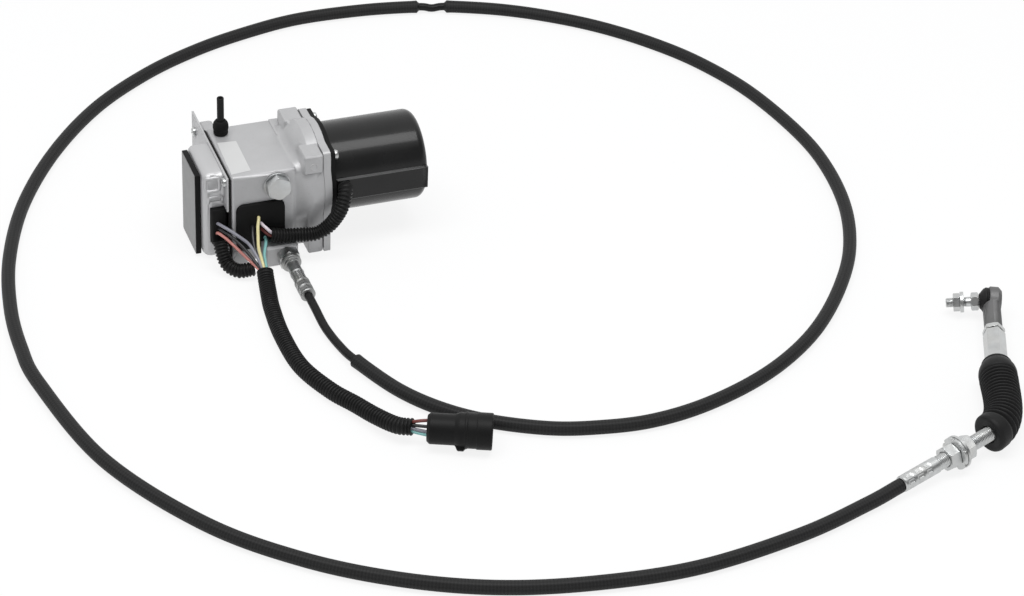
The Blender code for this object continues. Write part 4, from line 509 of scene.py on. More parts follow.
def forged(name, base, rough, metallic=0.75):
    made = Finish(name, metallic=metallic)
    cloud = made.noise(110, 4)
    made.put("Base Color", made.mix(cloud, grey(base * 0.85), grey(base * 1.15)))
    made.put("Roughness", rough + made.noise(400, 2) * 0.12)
    made.bump(made.noise(650, 4), 0.00012, 0.6, made.soft_edges(0.5))
    return made.material


ZINC, ZINC_MATT = zinc("bright_zinc"), zinc("dull_zinc", 0.36, 0.36)
ROD_ZINC = zinc("rod_zinc", 0.56, 0.24)
FORGED = forged("forged_grey", 0.155, 0.48)
MACHINED = forged("machined_steel", 0.45, 0.3, 1.0)
MAGNET = forged("sintered_magnet", 0.08, 0.6, 0.2)
print("made", [made.name for made in (ZINC, ZINC_MATT, ROD_ZINC, FORGED, MACHINED, MAGNET)])

# %% [markdown]
# ## Rubber, plastic and paint in black
# Black things are told apart by their gloss. The motor's can has a wet gloss with a clear coat, the boots
# are satin rubber with a trace of dust, and the connector is matt moulded plastic. A lighter grey is painted
# into the can's colour along the two folds beside its strip, as a painted highlight on their edges.

# %% Blacks
# Where the painted highlight lies on the can: its middle height, its band of distance from that height, and
# how far in front.
HIGHLIGHT_MIDDLE, HIGHLIGHT_FROM, HIGHLIGHT_TO, HIGHLIGHT_FRONT = 0.058, 0.0095, 0.0106, 0.0366


def black(name, base, rough, grain=500, depth=0.00008, coat=0.0, dust=0.02, edge=0.4):
    made = Finish(name, Coat_Weight=coat, Coat_Roughness=0.12, Specular_IOR_Level=0.13)
    cloud = made.noise(45, 4)
    made.put("Base Color", made.mix(cloud, grey(base * 0.8), grey(base * 1.1 + dust * 0.4)))
    made.put("Roughness", rough + cloud * 0.12)
    made.bump(made.noise(grain, 3), depth, 0.5, made.soft_edges(edge))
    return made.material


def can_paint():
    """Gloss black, with a painted highlight of lighter grey along the strip's two folds, near z = 58 -+ 10 mm
    at the front.
    """
    made = Finish("motor_gloss", Coat_Weight=0.3, Coat_Roughness=0.12, Specular_IOR_Level=0.13)
    forward, high = made.part(made.place(), 1), made.part(made.place(), 2)
    away = high.math("ABSOLUTE", high - HIGHLIGHT_MIDDLE)
    # The mask of the painted highlight: lighter grey along the strip's two folds stands in for light on their
    # edges.
    fold = (away > HIGHLIGHT_FROM) * (HIGHLIGHT_TO - away > 0.0) * (-HIGHLIGHT_FRONT - forward > 0.0)
    cloud = made.noise(45, 4)
    made.put("Base Color", made.mix(fold, made.mix(cloud, grey(0.008), grey(0.015)), grey(0.10)))
    made.put("Roughness", 0.2 + cloud * 0.12)
    made.bump(made.noise(140, 3), 0.00005, 0.5, made.soft_edges(1.0))
    return made.material


GLOSS_BLACK = can_paint()
RUBBER = black("satin_rubber", 0.012, 0.42, 700, 0.00006, 0.0, 0.014, 0.6)
MATT_RUBBER = black("gasket_black", 0.006, 0.55, dust=0.006)
PLASTIC = black("moulded_black", 0.008, 0.4, 900, 0.00006, 0.0, 0.006, 0.5)
CONDUIT = black("conduit_black", 0.011, 0.3, 600, 0.00004, 0.0, 0.01, 0.2)
JACKET = black("jacket_black", 0.012, 0.26, 400, 0.00003, 0.0, 0.008, 0.2)
print("made", [made.name for made in (GLOSS_BLACK, RUBBER, MATT_RUBBER, PLASTIC, CONDUIT, JACKET)])

# %% [markdown]
# ## The cable's woven sleeve
# Over the plastic jacket lies a black woven sleeve. Two families of yarn climb round it in opposite
# directions, and where they cross, the surface lies high. Both follow the cable, so they read the UV map.

# %% Woven sleeve
YARN_PITCH, YARN_COUNT = 0.0052, 6


def woven():
    made = Finish("woven_sleeve", Specular_IOR_Level=0.15)
    along, around = made.uv()
    turns = around * math.tau
    left = (along * (math.tau / YARN_PITCH) + turns * YARN_COUNT).sine()
    right = (along * (math.tau / YARN_PITCH) - turns * YARN_COUNT).sine()
    yarn = left * right * 0.5 + 0.5
    cloud = made.noise(30, 4)
    made.put("Base Color", made.mix(yarn * 0.6 + cloud * 0.3, grey(0.009), grey(0.028)))
    made.put("Roughness", 0.42 + cloud * 0.16)
    made.bump(yarn + made.noise(1500, 2) * 0.3, 0.00018, 0.5)
    return made.material


SLEEVE = woven()
print("made", SLEEVE.name, "with", YARN_COUNT, "yarns each way")

# %% [markdown]
# ## Wire insulation
# Each wire has its own colour. Extruded plastic is slightly glossy and has faint smears along it.

# %% Wire colours
def insulation(name, colour):
    made = Finish(name, Coat_Weight=0.1)
    cloud = made.noise(120, 3)
    darker = tuple(v * 0.82 for v in colour)
    made.put("Base Color", made.mix(cloud, darker, colour))
    made.put("Roughness", 0.34 + cloud * 0.14)
    made.bump(made.noise(700, 2), 0.00003, 0.4)
    return made.material


WIRES = {
    "yellow": insulation("yellow_wire", (0.73, 0.66, 0.34)),
    "white": insulation("white_wire", (0.78, 0.70, 0.76)),
    "brown": insulation("brown_wire", (0.17, 0.035, 0.03)),
    "teal": insulation("teal_wire", (0.25, 0.54, 0.52)),
    "grey": insulation("grey_wire", (0.24, 0.24, 0.28)),
    "salmon": insulation("salmon_wire", (0.60, 0.24, 0.21)),
    "black": insulation("black_wire", (0.014, 0.014, 0.016)),
}
print("wire colours:", ", ".join(WIRES))

# %% [markdown]
# ## The cable
# A push-pull cable is a steel wire in a stiff plastic jacket, about as thick as a pencil, with a woven
# sleeve over most of it. One tube follows the whole route: its radius drops where the sleeve stops, at the
# motor's end and at a short gap at the back of the loop. Each sleeve's cut end is turned slightly out.

# %% Cable
SLEEVE_RADIUS, JACKET_RADIUS = 5.75, 3.6
FLARE, FLARE_REACH = 0.25, 2.5
JACKET_NEAR = [(15.8, -112, 10), (16.2, -130, 9), (17.5, -154, 6), (22, -180, 4.5)]
SLEEVE_NEAR = [
    (27.7, -203.6, 6), (48, -250, 6), (73, -284, 6), (104, -310, 6), (146, -332, 6), (184, -342, 6),
    (224, -346, 6), (269, -340, 6), (319, -323, 6), (363, -299, 6), (404, -266, 6), (443, -221, 6),
    (475, -171, 6), (498, -112, 6), (509, -48, 6), (508, 12, 6), (493, 89, 6), (468, 150, 6),
    (438, 196, 6), (403, 235, 6), (365, 266, 6), (324, 291, 6), (278, 310, 6),
]
JACKET_GAP = [(264, 314.2, 4.2)]
SLEEVE_FAR = [
    (250.4, 317.3, 6), (200, 325, 6), (138, 326, 6), (87, 316, 6), (33, 298, 6), (-23, 269, 6),
    (-81, 224, 6), (-134, 161, 6), (-177, 88, 6), (-205, 13, 6), (-219, -55, 6), (-223, -111, 6),
    (-220, -162, 6), (-195, -271, 6), (-143, -366, 6), (-85, -428, 6), (-22, -472, 6), (45, -502, 6),
    (117, -518, 6), (195, -523, 6), (282, -510, 6), (345, -491.2, 6.4), (377.4, -480.4, 8.65),
]


def ride_as(made, body, slot, *replaced):
    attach(made, body)
    if replaced:
        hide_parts(*replaced)
    return made


def distance_at(path, run, point):
    """The distance along the path of its point nearest to a given one."""
    return run[np.argmin(np.linalg.norm(path - np.asarray(point) * MM, axis=1))]


def make_cable():
    """Radius = the jacket's, plus a smooth step up to the sleeve's inside each sleeve's stretch."""
    path, run = smooth_path(JACKET_NEAR + SLEEVE_NEAR + JACKET_GAP + SLEEVE_FAR, 2.4)
    near = distance_at(path, run, SLEEVE_NEAR[0])
    gap_in = distance_at(path, run, SLEEVE_NEAR[-1])
    gap_out = distance_at(path, run, SLEEVE_FAR[0])
    bare = (run < near) | ((run > gap_in) & (run < gap_out))
    edge = np.min(np.abs(run[:, None] - np.array([near, gap_in, gap_out])), axis=1)
    flare = FLARE * np.exp(-edge / (FLARE_REACH * MM))
    radii = np.where(bare, JACKET_RADIUS, SLEEVE_RADIUS - 0.05 + flare) * MM
    grid = sweep(path, radii, 28)
    made = skin("throttle_cable", grid, [SLEEVE, JACKET], run, slots=bare[:-1].astype(int))
    return made, path, run[-1]


cable, cable_path, cable_length = make_cable()
ride_as(
    cable, "unit", "woven_sleeve", "cable_jacket_near", "cable_sleeve_near", "cable_jacket_gap",
    "cable_sleeve_far",
)
print("cable length in m:", round(cable_length, 3))

# %% [markdown]
# ## Corrugated conduits
# Split conduit is a thin plastic tube with rings pressed into it, which let it bend. Its radius is a
# rounded wave along the path, with flat crests and narrow valleys. Each end shows its bore, so the tube
# turns inwards there and the wires come out of it.

# %% Conduits
ROWS_PER_RIDGE = 7
MAIN_CONDUIT = [
    (-10.4, -74.5, 14.0), (-11.8, -84, 10.2), (-13.8, -97, 7.8), (-17, -118, 7.2), (-19.6, -156, 7.2),
    (-17, -200, 7.2), (-4, -237, 7.2), (9, -261, 8), (19, -282, 9.6), (30, -301.5, 12.2), (40.6, -310, 14.2),
]
MOTOR_CONDUIT = [
    (2, -46.6, 30.5), (14, -47, 27.6), (26, -47.5, 26.4), (41, -49, 26), (51.5, -50.5, 32.5),
    (58.5, -52.5, 43), (62.6, -52.6, 51.5), (65.4, -50, 58.5), (67.5, -46, 62.4), (67.7, -40.9, 62.8),
]
SENSOR_CONDUIT = [
    (-38, -36.6, 25), (-37.6, -41.6, 17.6), (-36, -47.0, 10.6), (-32.4, -52.6, 7.6), (-27, -57, 6.6),
    (-19.5, -60, 8.5), (-15.8, -61, 9.4),
]


def conduit(name, route, radius, depth, pitch, bore, hint=(0.0, 0.0, 1.0), sides=32):
    """Radius = outer radius - depth * (a wave of the distance, sharpened so that the valleys are narrow)."""
    path, run = smooth_path(route, pitch / ROWS_PER_RIDGE)
    wave = 0.5 - 0.5 * np.cos(run / (pitch * MM) * math.tau)
    inner = np.full(4, bore * MM)
    radii = np.concatenate([inner, (radius - depth * wave ** 1.6) * MM, inner])
    way = unit(np.gradient(path, axis=0))
    there, ways = (
        np.vstack([rows[6:9][::-1], rows[:1], rows, rows[-1:], rows[-9:-6][::-1]]) for rows in (path, way)
    )
    grid = rings(there, ways, radii, sides, hint)
    lengths = np.concatenate([[0] * 4, run, [run[-1]] * 4])
    made = skin(name, grid, [CONDUIT], lengths)
    ride_as(made, "unit", "conduit_plastic", name.replace("ribbed_", ""))
    print(name, "length in mm:", round(run[-1] / MM, 1))
    return made, path, run[-1]


main_conduit, main_path, main_length = conduit("ribbed_main_conduit", MAIN_CONDUIT, 7.0, 1.3, 2.9, 5.2)
motor_conduit, motor_path, motor_length = conduit(
    "ribbed_motor_conduit", MOTOR_CONDUIT, 6.2, 1.25, 2.7, 4.4, (0.0, 1.0, 0.0),
)
conduit("ribbed_sensor_conduit", SENSOR_CONDUIT, 6.25, 1.2, 2.7, 4.6, (1.0, 0.0, 0.0))

# %% [markdown]
# ## Wires
# Eight wires leave the two grommets and run into the conduits, and four enter the connector. Each is a tube
# 2.7 mm thick on its own curve, and both its ends lie hidden: in a grommet, a conduit or the connector.

# %% Wires
WIRE_RADIUS = 1.35
FRONT_WIRES = {
    "yellow": [(-5.4, -37.4, 44.4), (-6.0, -41.0, 44.0), (-8.2, -46, 40.2), (-9.8, -52, 35.4),
               (-11.6, -60, 28.6), (-11.2, -68, 21.6), (-11.0, -78, 14.6)],
    "teal": [(-0.4, -37.4, 23.2), (-0.4, -42, 24.0), (-2.0, -48, 24.0), (-4.6, -54, 22.4), (-6.8, -60, 20.4),
             (-8.0, -68, 17.4), (-9.4, -78, 14.0)],
    "black": [(-10.6, -37.4, 36.4), (-11.4, -41.4, 36.0), (-13.5, -50, 31.6), (-14.2, -59, 25.4),
              (-13.2, -68, 19.6), (-12.6, -78, 14.2)],
}
MOTOR_WIRES = {
    "white": [(-3.8, -37.4, 38.4), (-3.2, -41.8, 38.6), (-0.6, -46, 36.8), (3.0, -47.6, 33.2),
              (8.5, -47.2, 29.8)],
    "brown": [(-3.4, -37.4, 32.6), (-2.4, -41.6, 32.6), (-0.2, -45.6, 31.4), (3.4, -47.6, 29.4),
              (9.0, -47.4, 27.6)],
}
COVER_WIRES = {
    "grey": [(-38.7, -29.4, 38.8), (-37.6, -33.4, 39.6), (-32.6, -40.6, 38.6), (-25.6, -47, 34.8),
             (-18.4, -53, 29.6), (-15.2, -60, 25.0), (-13.4, -68, 20.8), (-11.6, -78, 13.6)],
    "salmon": [(-39.2, -29.4, 28.6), (-38.4, -33.4, 31.0), (-34.4, -40, 29.8), (-28.2, -47.6, 24.8),
               (-21.6, -55.6, 18.8), (-16.8, -64, 15.6), (-13.4, -73, 14.0), (-12.0, -80, 12.6)],
    "black": [(-37.5, -29.4, 33.4), (-36.2, -34, 34.2), (-31.6, -41.4, 33.0), (-25.2, -49.4, 28.6),
              (-19.6, -57.4, 22.8), (-15.6, -65.4, 18.0), (-12.8, -73, 15.0), (-11.6, -79, 12.4)],
}
PLUG_WIRES = {
    "brown": [(35.5, -304.6, 16.6), (41.5, -309.0, 18.6), (46.2, -311.6, 20.2), (51.5, -313.4, 20.8)],
    "black": [(35.0, -305.6, 15.2), (41.4, -310.2, 15.8), (46.0, -313.4, 16.4), (51.5, -316.2, 16.6)],
    "grey": [(34.6, -306.4, 13.0), (41.0, -311.4, 13.2), (45.6, -314.6, 13.0), (50.8, -318.2, 13.0)],
    "teal": [(34.0, -306.2, 11.6), (40.4, -311.8, 11.0), (45.2, -315.2, 10.6), (50.4, -319.0, 10.6)],
}


def lay_wires(group, routes):
    """One tube for each route, with its path and its length."""
    made = []
    for colour, route in routes.items():
        path, run = smooth_path(route, 1.2)
        grid = sweep(path, np.full(len(path), WIRE_RADIUS * MM), 12)
        wire = skin(f"{group}_{colour}_wire", grid, [WIRES[colour]], run)
        made.append((ride_as(wire, "unit", "wire_insulation"), path, run[-1]))
    return made


front_wires = lay_wires("front", FRONT_WIRES)
cover_wires = lay_wires("cover", COVER_WIRES)
motor_wires = lay_wires("motor", MOTOR_WIRES)
plug_wires = lay_wires("plug", PLUG_WIRES)
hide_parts("front_wires")
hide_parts("cover_wires")
print("wires:", sum(len(g) for g in (front_wires, cover_wires, motor_wires, plug_wires)))

# %% [markdown]
# ## The cable's fitting at the gearbox
# A six-sided nut holds the cable in the gearbox's boss. Behind it sit a bright collar, a smooth tube, a
# knurled band and a crimped ferrule whose flats are pressed by a six-sided tool.

# %% Nuts and crimps
NEAR = axis_frame((15.8 * MM, 0, 10 * MM), (0, -1, 0), (1, 0, 0))


def hex_nut(name, node, body, flats, low, high, bore, where, turn, chamfer=0.75):
    """A nut: outside it is a turned drum cut by six flats, so each corner's chamfer shows as an arc."""
    corner = flats / math.sqrt(3)
    cut = (corner - flats / 2) * chamfer
    rise = cut * 0.5
    profile = [
        (bore, low + 0.6), (bore + 0.6, low), (corner - cut, low), (corner, low + rise),
        (corner, high - rise), (corner - cut, high), (bore + 0.6, high), (bore, high - 0.6),
    ]
    fine = np.vstack([np.linspace(a, b, 5, endpoint=False) for a, b in zip(profile[2:5], profile[3:6])])
    rows = np.vstack([profile[:2], fine, profile[5:]])
    shape = hexagon(flats, turn, flats * 0.45)
    nut = turned(name, rows, where, ZINC, shape=shape, wrap=True, angles=steps_from(turn, 72))
    return ride_as(nut, body, "zinc_steel", node)


def facets(count, depth, low, high):
    """Flats pressed in between two heights: as many as the tool has jaws, fading out at their ends."""
    def shape(radius, angle, height):
        flat = (radius - depth * MM) / np.cos(from_middle(angle, 0, count))
        pressed = between(height, low, high, 1.2)
        return radius + (np.minimum(radius, flat) - radius) * pressed
    return shape


def all_of(*shapes):
    def shape(radius, angle, height):
        for one in shapes:
            radius = one(radius, angle, height)
        return radius
    return shape


def knurl(depth, pitch, count, low, high):
    """Two sets of grooves that cross: a wave along the height plus angle, times one with angle reversed."""
    def shape(radius, angle, height):
        inside = (height > low * MM) & (height < high * MM)
        a = np.sin(height / (pitch * MM) * math.tau + angle * count)
        b = np.sin(height / (pitch * MM) * math.tau - angle * count)
        return radius - inside * depth * MM * np.clip(0.5 - a * b, 0, 1)
    return shape


print("shapes for a nut, flats and a knurl are ready")

# %% [markdown]
# The fitting is one profile from the nut's face to the ferrule's end, with a knurl and two crimped bands.

# %% Fitting
fitting_profile = np.vstack([
    [(3.0, 60.6), (7.6, 60.6), (8.4, 61.2), (8.4, 63.4), (7.9, 64.0), (6.6, 64.4), (6.6, 66.2), (5.5, 66.6)],
    rod_profile(5.5, 67.0, 78.6, 0.6), [(5.9, 79.2), (5.9, 80.0)],
    rod_profile(5.5, 80.6, 92.2, 0.45), [(6.4, 92.8)], rod_profile(6.4, 93.2, 110.8, 0.5),
    [(5.9, 111.5), (3.7, 111.6)],
])
hex_nut("fitting_nut", "cable_nut", "unit", 17, 51.3, 60.3, 4.0, NEAR, math.radians(8))
near_fitting = ride_as(turned(
    "crimped_fitting", fitting_profile, NEAR, ZINC_MATT, 60,
    all_of(knurl(0.3, 2.2, 12, 81, 92), facets(6, 0.75, 94.4, 101.6), facets(6, 0.75, 102.8, 110.0)),
), "unit", "zinc_steel", "cable_fitting")
print("near fitting:", len(near_fitting.data.polygons), "faces")

# %% [markdown]
# ## The threaded hub at the far end
# A bracket clamps this hub between two nuts, with a toothed lock washer. The ferrule before it is crimped
# in three bands of small rectangles. The fine thread is a true helix: its wave climbs once a turn.

# %% Hub, nuts and washer
RISE = math.atan2(17.5 - 9.2, 97.5)
HUB_TURN = math.radians(18.3)
HUB_WAY = np.array([math.cos(RISE) * math.cos(HUB_TURN), math.cos(RISE) * math.sin(HUB_TURN), math.sin(RISE)])
HUB_START = np.array([378.2, -480.1, 9.2]) * MM
HUB = axis_frame(HUB_START, HUB_WAY)


def dimples(count, depth, bands, wide, turn=0.0):
    """Rectangles pressed in round the ferrule: inside a band of height and near one of the angles."""
    def shape(radius, angle, height):
        away = np.abs(from_middle(angle, turn, count))
        beside = np.clip((wide - away) / 0.07, 0, 1)
        for low, high in bands:
            radius = radius - depth * MM * beside * between(height, low, high, 0.7)
        return radius
    return shape


hub_profile = np.vstack([
    [(3.7, 0.0), (5.6, 0.0)], rod_profile(6.6, 0.9, 36.0, 0.45), [(6.3, 36.5), (5.2, 36.9), (5.2, 37.8)],
    rod_profile(6.0, 38.5, 96.6, 0.25), [(5.2, 97.4), (2.7, 97.5), (2.5, 97.0)], [(2.5, 60.0)],
])
CRIMP_BANDS = [(3.0, 9.6), (12.4, 19.4), (22.2, 28.0)]
hub = ride_as(turned(
    "threaded_hub", hub_profile, HUB, ZINC, 72,
    all_of(dimples(8, 0.55, CRIMP_BANDS, 0.24, 0.2), screw_thread(0.62, 1.5, 38.8, 97)),
), "unit", "zinc_steel", "cable_hub")
hub_nut_1 = hex_nut("clamp_nut_near", "hub_nut_1", "unit", 18, 45.5, 55.0, 6.2, HUB, math.radians(12))
hub_nut_2 = hex_nut("clamp_nut_far", "hub_nut_2", "unit", 18, 61.6, 71.1, 6.2, HUB, math.radians(24))


def toothed_washer():
    """A dished ring whose rim is cut by six notches: the radius dips where a cosine of the angle is low."""
    profile = [
        (6.3, 55.4), (9.8, 55.4), (12.6, 55.9), (13.4, 56.2), (13.4, 57.7), (12.6, 57.9), (12.2, 58.4),
        (12.4, 58.7), (13.5, 58.8), (13.5, 61.1), (12.9, 61.3), (6.3, 61.3),
    ]

    def shape(radius, angle, height):
        notch = np.clip(np.cos((angle - 0.8) * 6) * 3.2 - 2.4, 0, 1)
        front = (height < 58.0 * MM) & (radius > 12 * MM)
        return radius - front * notch * 2.3 * MM
    return turned("toothed_washer", profile, HUB, ZINC, 144, shape, wrap=True)


hub_washer = ride_as(toothed_washer(), "unit", "zinc_steel", "hub_washer")
print("hub:", len(hub.data.polygons), "faces; washer:", len(hub_washer.data.polygons), "faces")

# %% [markdown]
# ## The bellows boot
# A rubber bellows keeps dirt off the rod where it slides. It has a smooth collar at the hub, about
# sixteen folds and a smooth dome at the rod. It bends, so its rings are square to a cubic curve.

# %% Boot
ROD_TURN = math.radians(66.5)
ROD_WAY = np.array([math.cos(ROD_TURN), math.sin(ROD_TURN), 0.0])
COLLAR = np.array([513.4, -369.7, 16.2]) * MM
HUB_END = HUB_START + HUB_WAY * 97.5 * MM
ROD = axis_frame(COLLAR, ROD_WAY)
FOLDS, FIRST_FOLD, DOME_LENGTH = 16, 12.0, 19.0
CREST, FOLD_DEPTH = 15.75, 2.9


def boot_curve():
    """A cubic curve from 6 mm before the hub's end to the rod's collar, leaving along each one's axis."""
    start, end = HUB_END - HUB_WAY * 6 * MM, COLLAR
    reach = np.linalg.norm(end - start)
    a, b = start + HUB_WAY * reach * 0.3, end - ROD_WAY * reach * 0.42
    t = np.linspace(0, 1, 600)[:, None]
    fine = start * (1 - t) ** 3 + a * 3 * (1 - t) ** 2 * t + b * 3 * (1 - t) * t ** 2 + end * t ** 3
    return fine, running_length(fine)


def make_boot():
    """Radius = collar, then folds as a rounded wave of the distance, then a dome that closes on the rod."""
    fine, run = boot_curve()
    total = run[-1] / MM
    first, last = FIRST_FOLD, total - DOME_LENGTH
    pitch = (last - first) / FOLDS
    lower = [(6.4, 5.0), (6.4, 1.6), (7.6, 0.4), (13.4, 0.0), (15.0, 0.9), (15.8, 2.8), (15.8, 9.0),
             (15.2, 10.4)]
    at = np.linspace(first, last, FOLDS * 12 + 1)
    wave = 0.5 - 0.5 * np.cos((at - first) / pitch * math.tau)
    share = (at - first) / (last - first)
    crest = CREST - 0.5 * np.sin(share * math.pi)
    middle = np.stack([crest - FOLD_DEPTH * (1 - wave) ** 1.35, at], axis=1)
    upper = [
        (14.9, last + 1.2), (15.6, last + 2.4), (15.7, last + 6.0), (15.2, last + 9.6), (13.9, last + 13.4),
        (12.4, last + 16.2), (12.2, last + 17.0), (12.7, last + 17.8), (12.4, last + 18.7),
        (11.2, last + 19.0), (10.3, last + 18.8), (9.7, last + 18.0), (9.7, last + 12.0),
    ]
    profile = np.vstack([rounded(lower, 0.7), middle, rounded(upper, 1.2)])
    at = np.clip(profile[:, 1], 0, total) * MM
    path = np.stack([np.interp(at, run, fine[:, k]) for k in range(3)], axis=1)
    slope = np.gradient(fine, axis=0)
    way = unit(np.stack([np.interp(at, run, slope[:, k]) for k in range(3)], axis=1))
    return skin("rubber_bellows", rings(path, way, profile[:, 0] * MM, 72), [RUBBER], at)


boot = make_boot()
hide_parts("bellows_boot")
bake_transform(boot)
print("boot:", len(boot.data.polygons), "faces")

# %% [markdown]
# ## Rod, jam nut and rod end
# The rod is a six-sided bar with a corner up. A thin jam nut locks it to the rod end, a grey forging with
# a round shank and a rounded head. The head is a shape that turns from round to the ball's own housing.

# %% Rod
ROD_FLATS_TURN = math.radians(43)
ride_as(turned(
    "hex_rod", np.vstack([
        [(5.0, -13.6), (7.2, -14.0), (9.3, -13.2)], rod_profile(9.4, -12.6, 42.0, 9),
        [(9.3, 42.0), (7.4, 43.1), (5.0, 43.2), (4.4, 43.5)], rod_profile(4.4, 43.6, 59.0, 0.3),
    ]), ROD, ROD_ZINC, angles=steps_from(ROD_FLATS_TURN, 72),
    shape=all_of(hexagon(16, ROD_FLATS_TURN, 4.6), screw_thread(0.45, 1.25, 44, 59.4)),
), "rod", "zinc_steel", "push_rod")
hex_nut("thin_jam_nut", "jam_nut", "rod", 16, 43.9, 48.7, 4.7, ROD, ROD_FLATS_TURN, 0.95)


def copy_of(node, name, finish, sharp=32):
    """The CAD node's own shape as a new piece: its doubles merged and its shading smooth between facets."""
    mesh = nodes[node].data.copy()
    mesh.name = name
    mesh.materials.clear()
    mesh.materials.append(finish)
    shape = bmesh.new()
    shape.from_mesh(mesh)
    bmesh.ops.remove_doubles(shape, verts=shape.verts, dist=0.000002)
    bmesh.ops.dissolve_limit(shape, angle_limit=math.radians(1.0), verts=shape.verts, edges=shape.edges)
    shape.to_mesh(mesh)
    shape.free()
    mesh.shade_smooth()
    mesh.set_sharp_from_angle(angle=math.radians(sharp))
    made = bpy.data.objects.new(name, mesh)
    bpy.context.scene.collection.objects.link(made)
    return made


rod_end = ride_as(copy_of("rod_end", "forged_rod_end", FORGED, 40), "rod", "grey_steel", "rod_end")
print("rod end:", len(rod_end.data.polygons), "faces")

# %% [markdown]
# ## Ball stud
# The stud leaves the ball towards the throttle lever. It has a six-sided collar, a short bright shank, a
# thread, a washer and a nut. A rubber skirt covers the ball.

# %% Stud
BALL = COLLAR + ROD_WAY * 91.2 * MM
HEAD_WAY = np.array([-ROD_WAY[1], ROD_WAY[0], 0.0])
DROOP = math.radians(8.5)
STUD_WAY = np.array([HEAD_WAY[0] * math.cos(DROOP), HEAD_WAY[1] * math.cos(DROOP), -math.sin(DROOP)])
STUD = axis_frame(BALL, STUD_WAY, ROD_WAY)
print("ball centre in mm:", np.round(BALL / MM, 2))
STUD_FLATS_TURN = math.radians(-25.5)
stud = ride_as(turned(
    "threaded_stud", np.vstack([
        [(2.6, -4.8), (4.4, -3.3), (5.3, -1.4), (5.5, 0.0), (5.3, 1.4), (4.5, 3.15), (3.2, 4.47), (3.2, 9.9)],
        [(3.2, 10.2), (6.3, 10.2), (6.9, 10.5), (7.5, 11.1)], rod_profile(7.5, 11.6, 15.1, 1.2),
        [(7.5, 15.6), (6.9, 16.2), (6.3, 16.5), (4.0, 16.6)], rod_profile(4.0, 17.2, 36.4, 0.2),
        [(3.3, 37.0)],
    ]), STUD, ZINC, angles=steps_from(STUD_FLATS_TURN, 60),
    shape=all_of(hexagon(13, STUD_FLATS_TURN, 5.9), screw_thread(0.5, 1.25, 20.4, 36.6)),
), "stud", "zinc_steel", "ball_stud")
stud_washer = ride_as(turned(
    "stud_flat_washer",
    rounded([(4.3, 22.4), (8.4, 22.4), (8.6, 22.6), (8.6, 25.2), (8.4, 25.4), (4.3, 25.4)], 0.2),
    STUD, ZINC, 60, wrap=True,
), "stud", "zinc_steel", "stud_washer")
stud_nut = hex_nut("lever_nut", "stud_nut", "stud", 13, 25.7, 31.0, 4.3, STUD, STUD_FLATS_TURN)


def make_dust_skirt():
    """Its lip lies square on the head's face and its top square on the stud: the axis turns with height."""
    profile = np.array([
        (3.4, 9.8, 1.0), (5.6, 9.85, 1.0), (6.3, 9.4, 1.0), (7.2, 8.4, 0.8), (8.6, 7.4, 0.6), (9.8, 6.3, 0.4),
        (10.5, 5.2, 0.2), (10.7, 4.4, 0.1), (10.2, 3.9, 0.0), (10.6, 3.4, 0.0), (10.5, 2.8, 0.0),
        (9.9, 2.55, 0.0), (6.8, 2.55, 0.0), (5.9, 4.0, 0.5), (3.4, 7.8, 1.0),
    ])
    share = profile[:, 2:]
    out = unit(HEAD_WAY * (1 - share) + STUD_WAY * share)
    grid = rings(BALL + out * profile[:, 1:2] * MM, out, profile[:, 0] * MM, 60, ROD_WAY)
    return skin("rubber_dust_skirt", grid, [RUBBER], wrap_rows=True)


skirt = make_dust_skirt()
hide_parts("dust_boot")
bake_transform(skirt)
print("stud pieces:", stud.name, stud_washer.name, stud_nut.name, skirt.name)

# %% [markdown]
# ## The round connector
# A moulded plastic plug with a narrower rear half, a rounded step, a thin rib, an open shroud and a latch
# lug. Seven pins stand in its mouth.

# %% Connector
PLUG_TURN = math.radians(-22)
PLUG_WAY = np.array([math.cos(PLUG_TURN), math.sin(PLUG_TURN), 0.0])
PLUG = axis_frame(np.array([50, -316, 15.5]) * MM, PLUG_WAY)
shell_profile = np.vstack([
    [(7.4, 3.0), (7.4, 0.4)],
    rounded([(7.8, 0.0), (10.2, 0.0), (12.3, 2.4), (12.3, 21.6), (13.2, 23.4), (14.0, 25.4), (14.0, 29.4),
             (14.6, 29.9),
             (14.6, 31.4), (14.1, 31.9), (14.1, 38.6), (14.6, 39.2), (14.6, 50.4), (14.1, 51.0), (13.1, 51.0),
             (12.8, 50.4), (12.8, 36.8)], 0.5),
    [(12.7, 36.7), (2.0, 36.7)],
])

LATCH_AT = math.radians(140)


def latch(radius, angle, height):
    """A lug low on the shell's front: near one angle the radius rises to 16.6 mm inside the lug's length."""
    away = np.abs(np.mod(angle, math.tau) - LATCH_AT)
    beside = np.clip((0.30 - away) / 0.06, 0, 1)
    inside = between(height, 22.6, 30.6, 1.6)
    outer = radius > 11.5 * MM
    return radius + outer * beside * inside * np.clip(16.6 * MM - radius, 0, 1)


fine_angles = np.unique(np.concatenate([even_angles(60), LATCH_AT + np.linspace(-0.36, 0.36, 25)]))
shell_rows = np.vstack([shell_profile[:2]] + [
    np.linspace(a, b, max(2, int(np.linalg.norm(b - a) / 0.8) + 1))[:-1]
    for a, b in zip(shell_profile[1:], shell_profile[2:])
] + [shell_profile[-1:]])
shell = ride_as(
    turned("moulded_plug", shell_rows, PLUG, PLASTIC, shape=latch, angles=fine_angles),
    "unit", "black_plastic", "connector_shell",
)
for i, turn in enumerate(even_angles(7)):
    at = PLUG[0] + (PLUG[1] * math.cos(turn) + PLUG[2] * math.sin(turn)) * 8.4 * MM
    pin_profile = rounded([(1.9, 36.5), (1.9, 38.4), (1.1, 38.5), (1.1, 45.4), (0.5, 46.6)], 0.3)
    pin = turned(f"contact_pin_{i + 1}", pin_profile, (at, *PLUG[1:]), ZINC, 16)
    ride_as(pin, "unit", "grey_steel")
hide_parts("connector_pins")

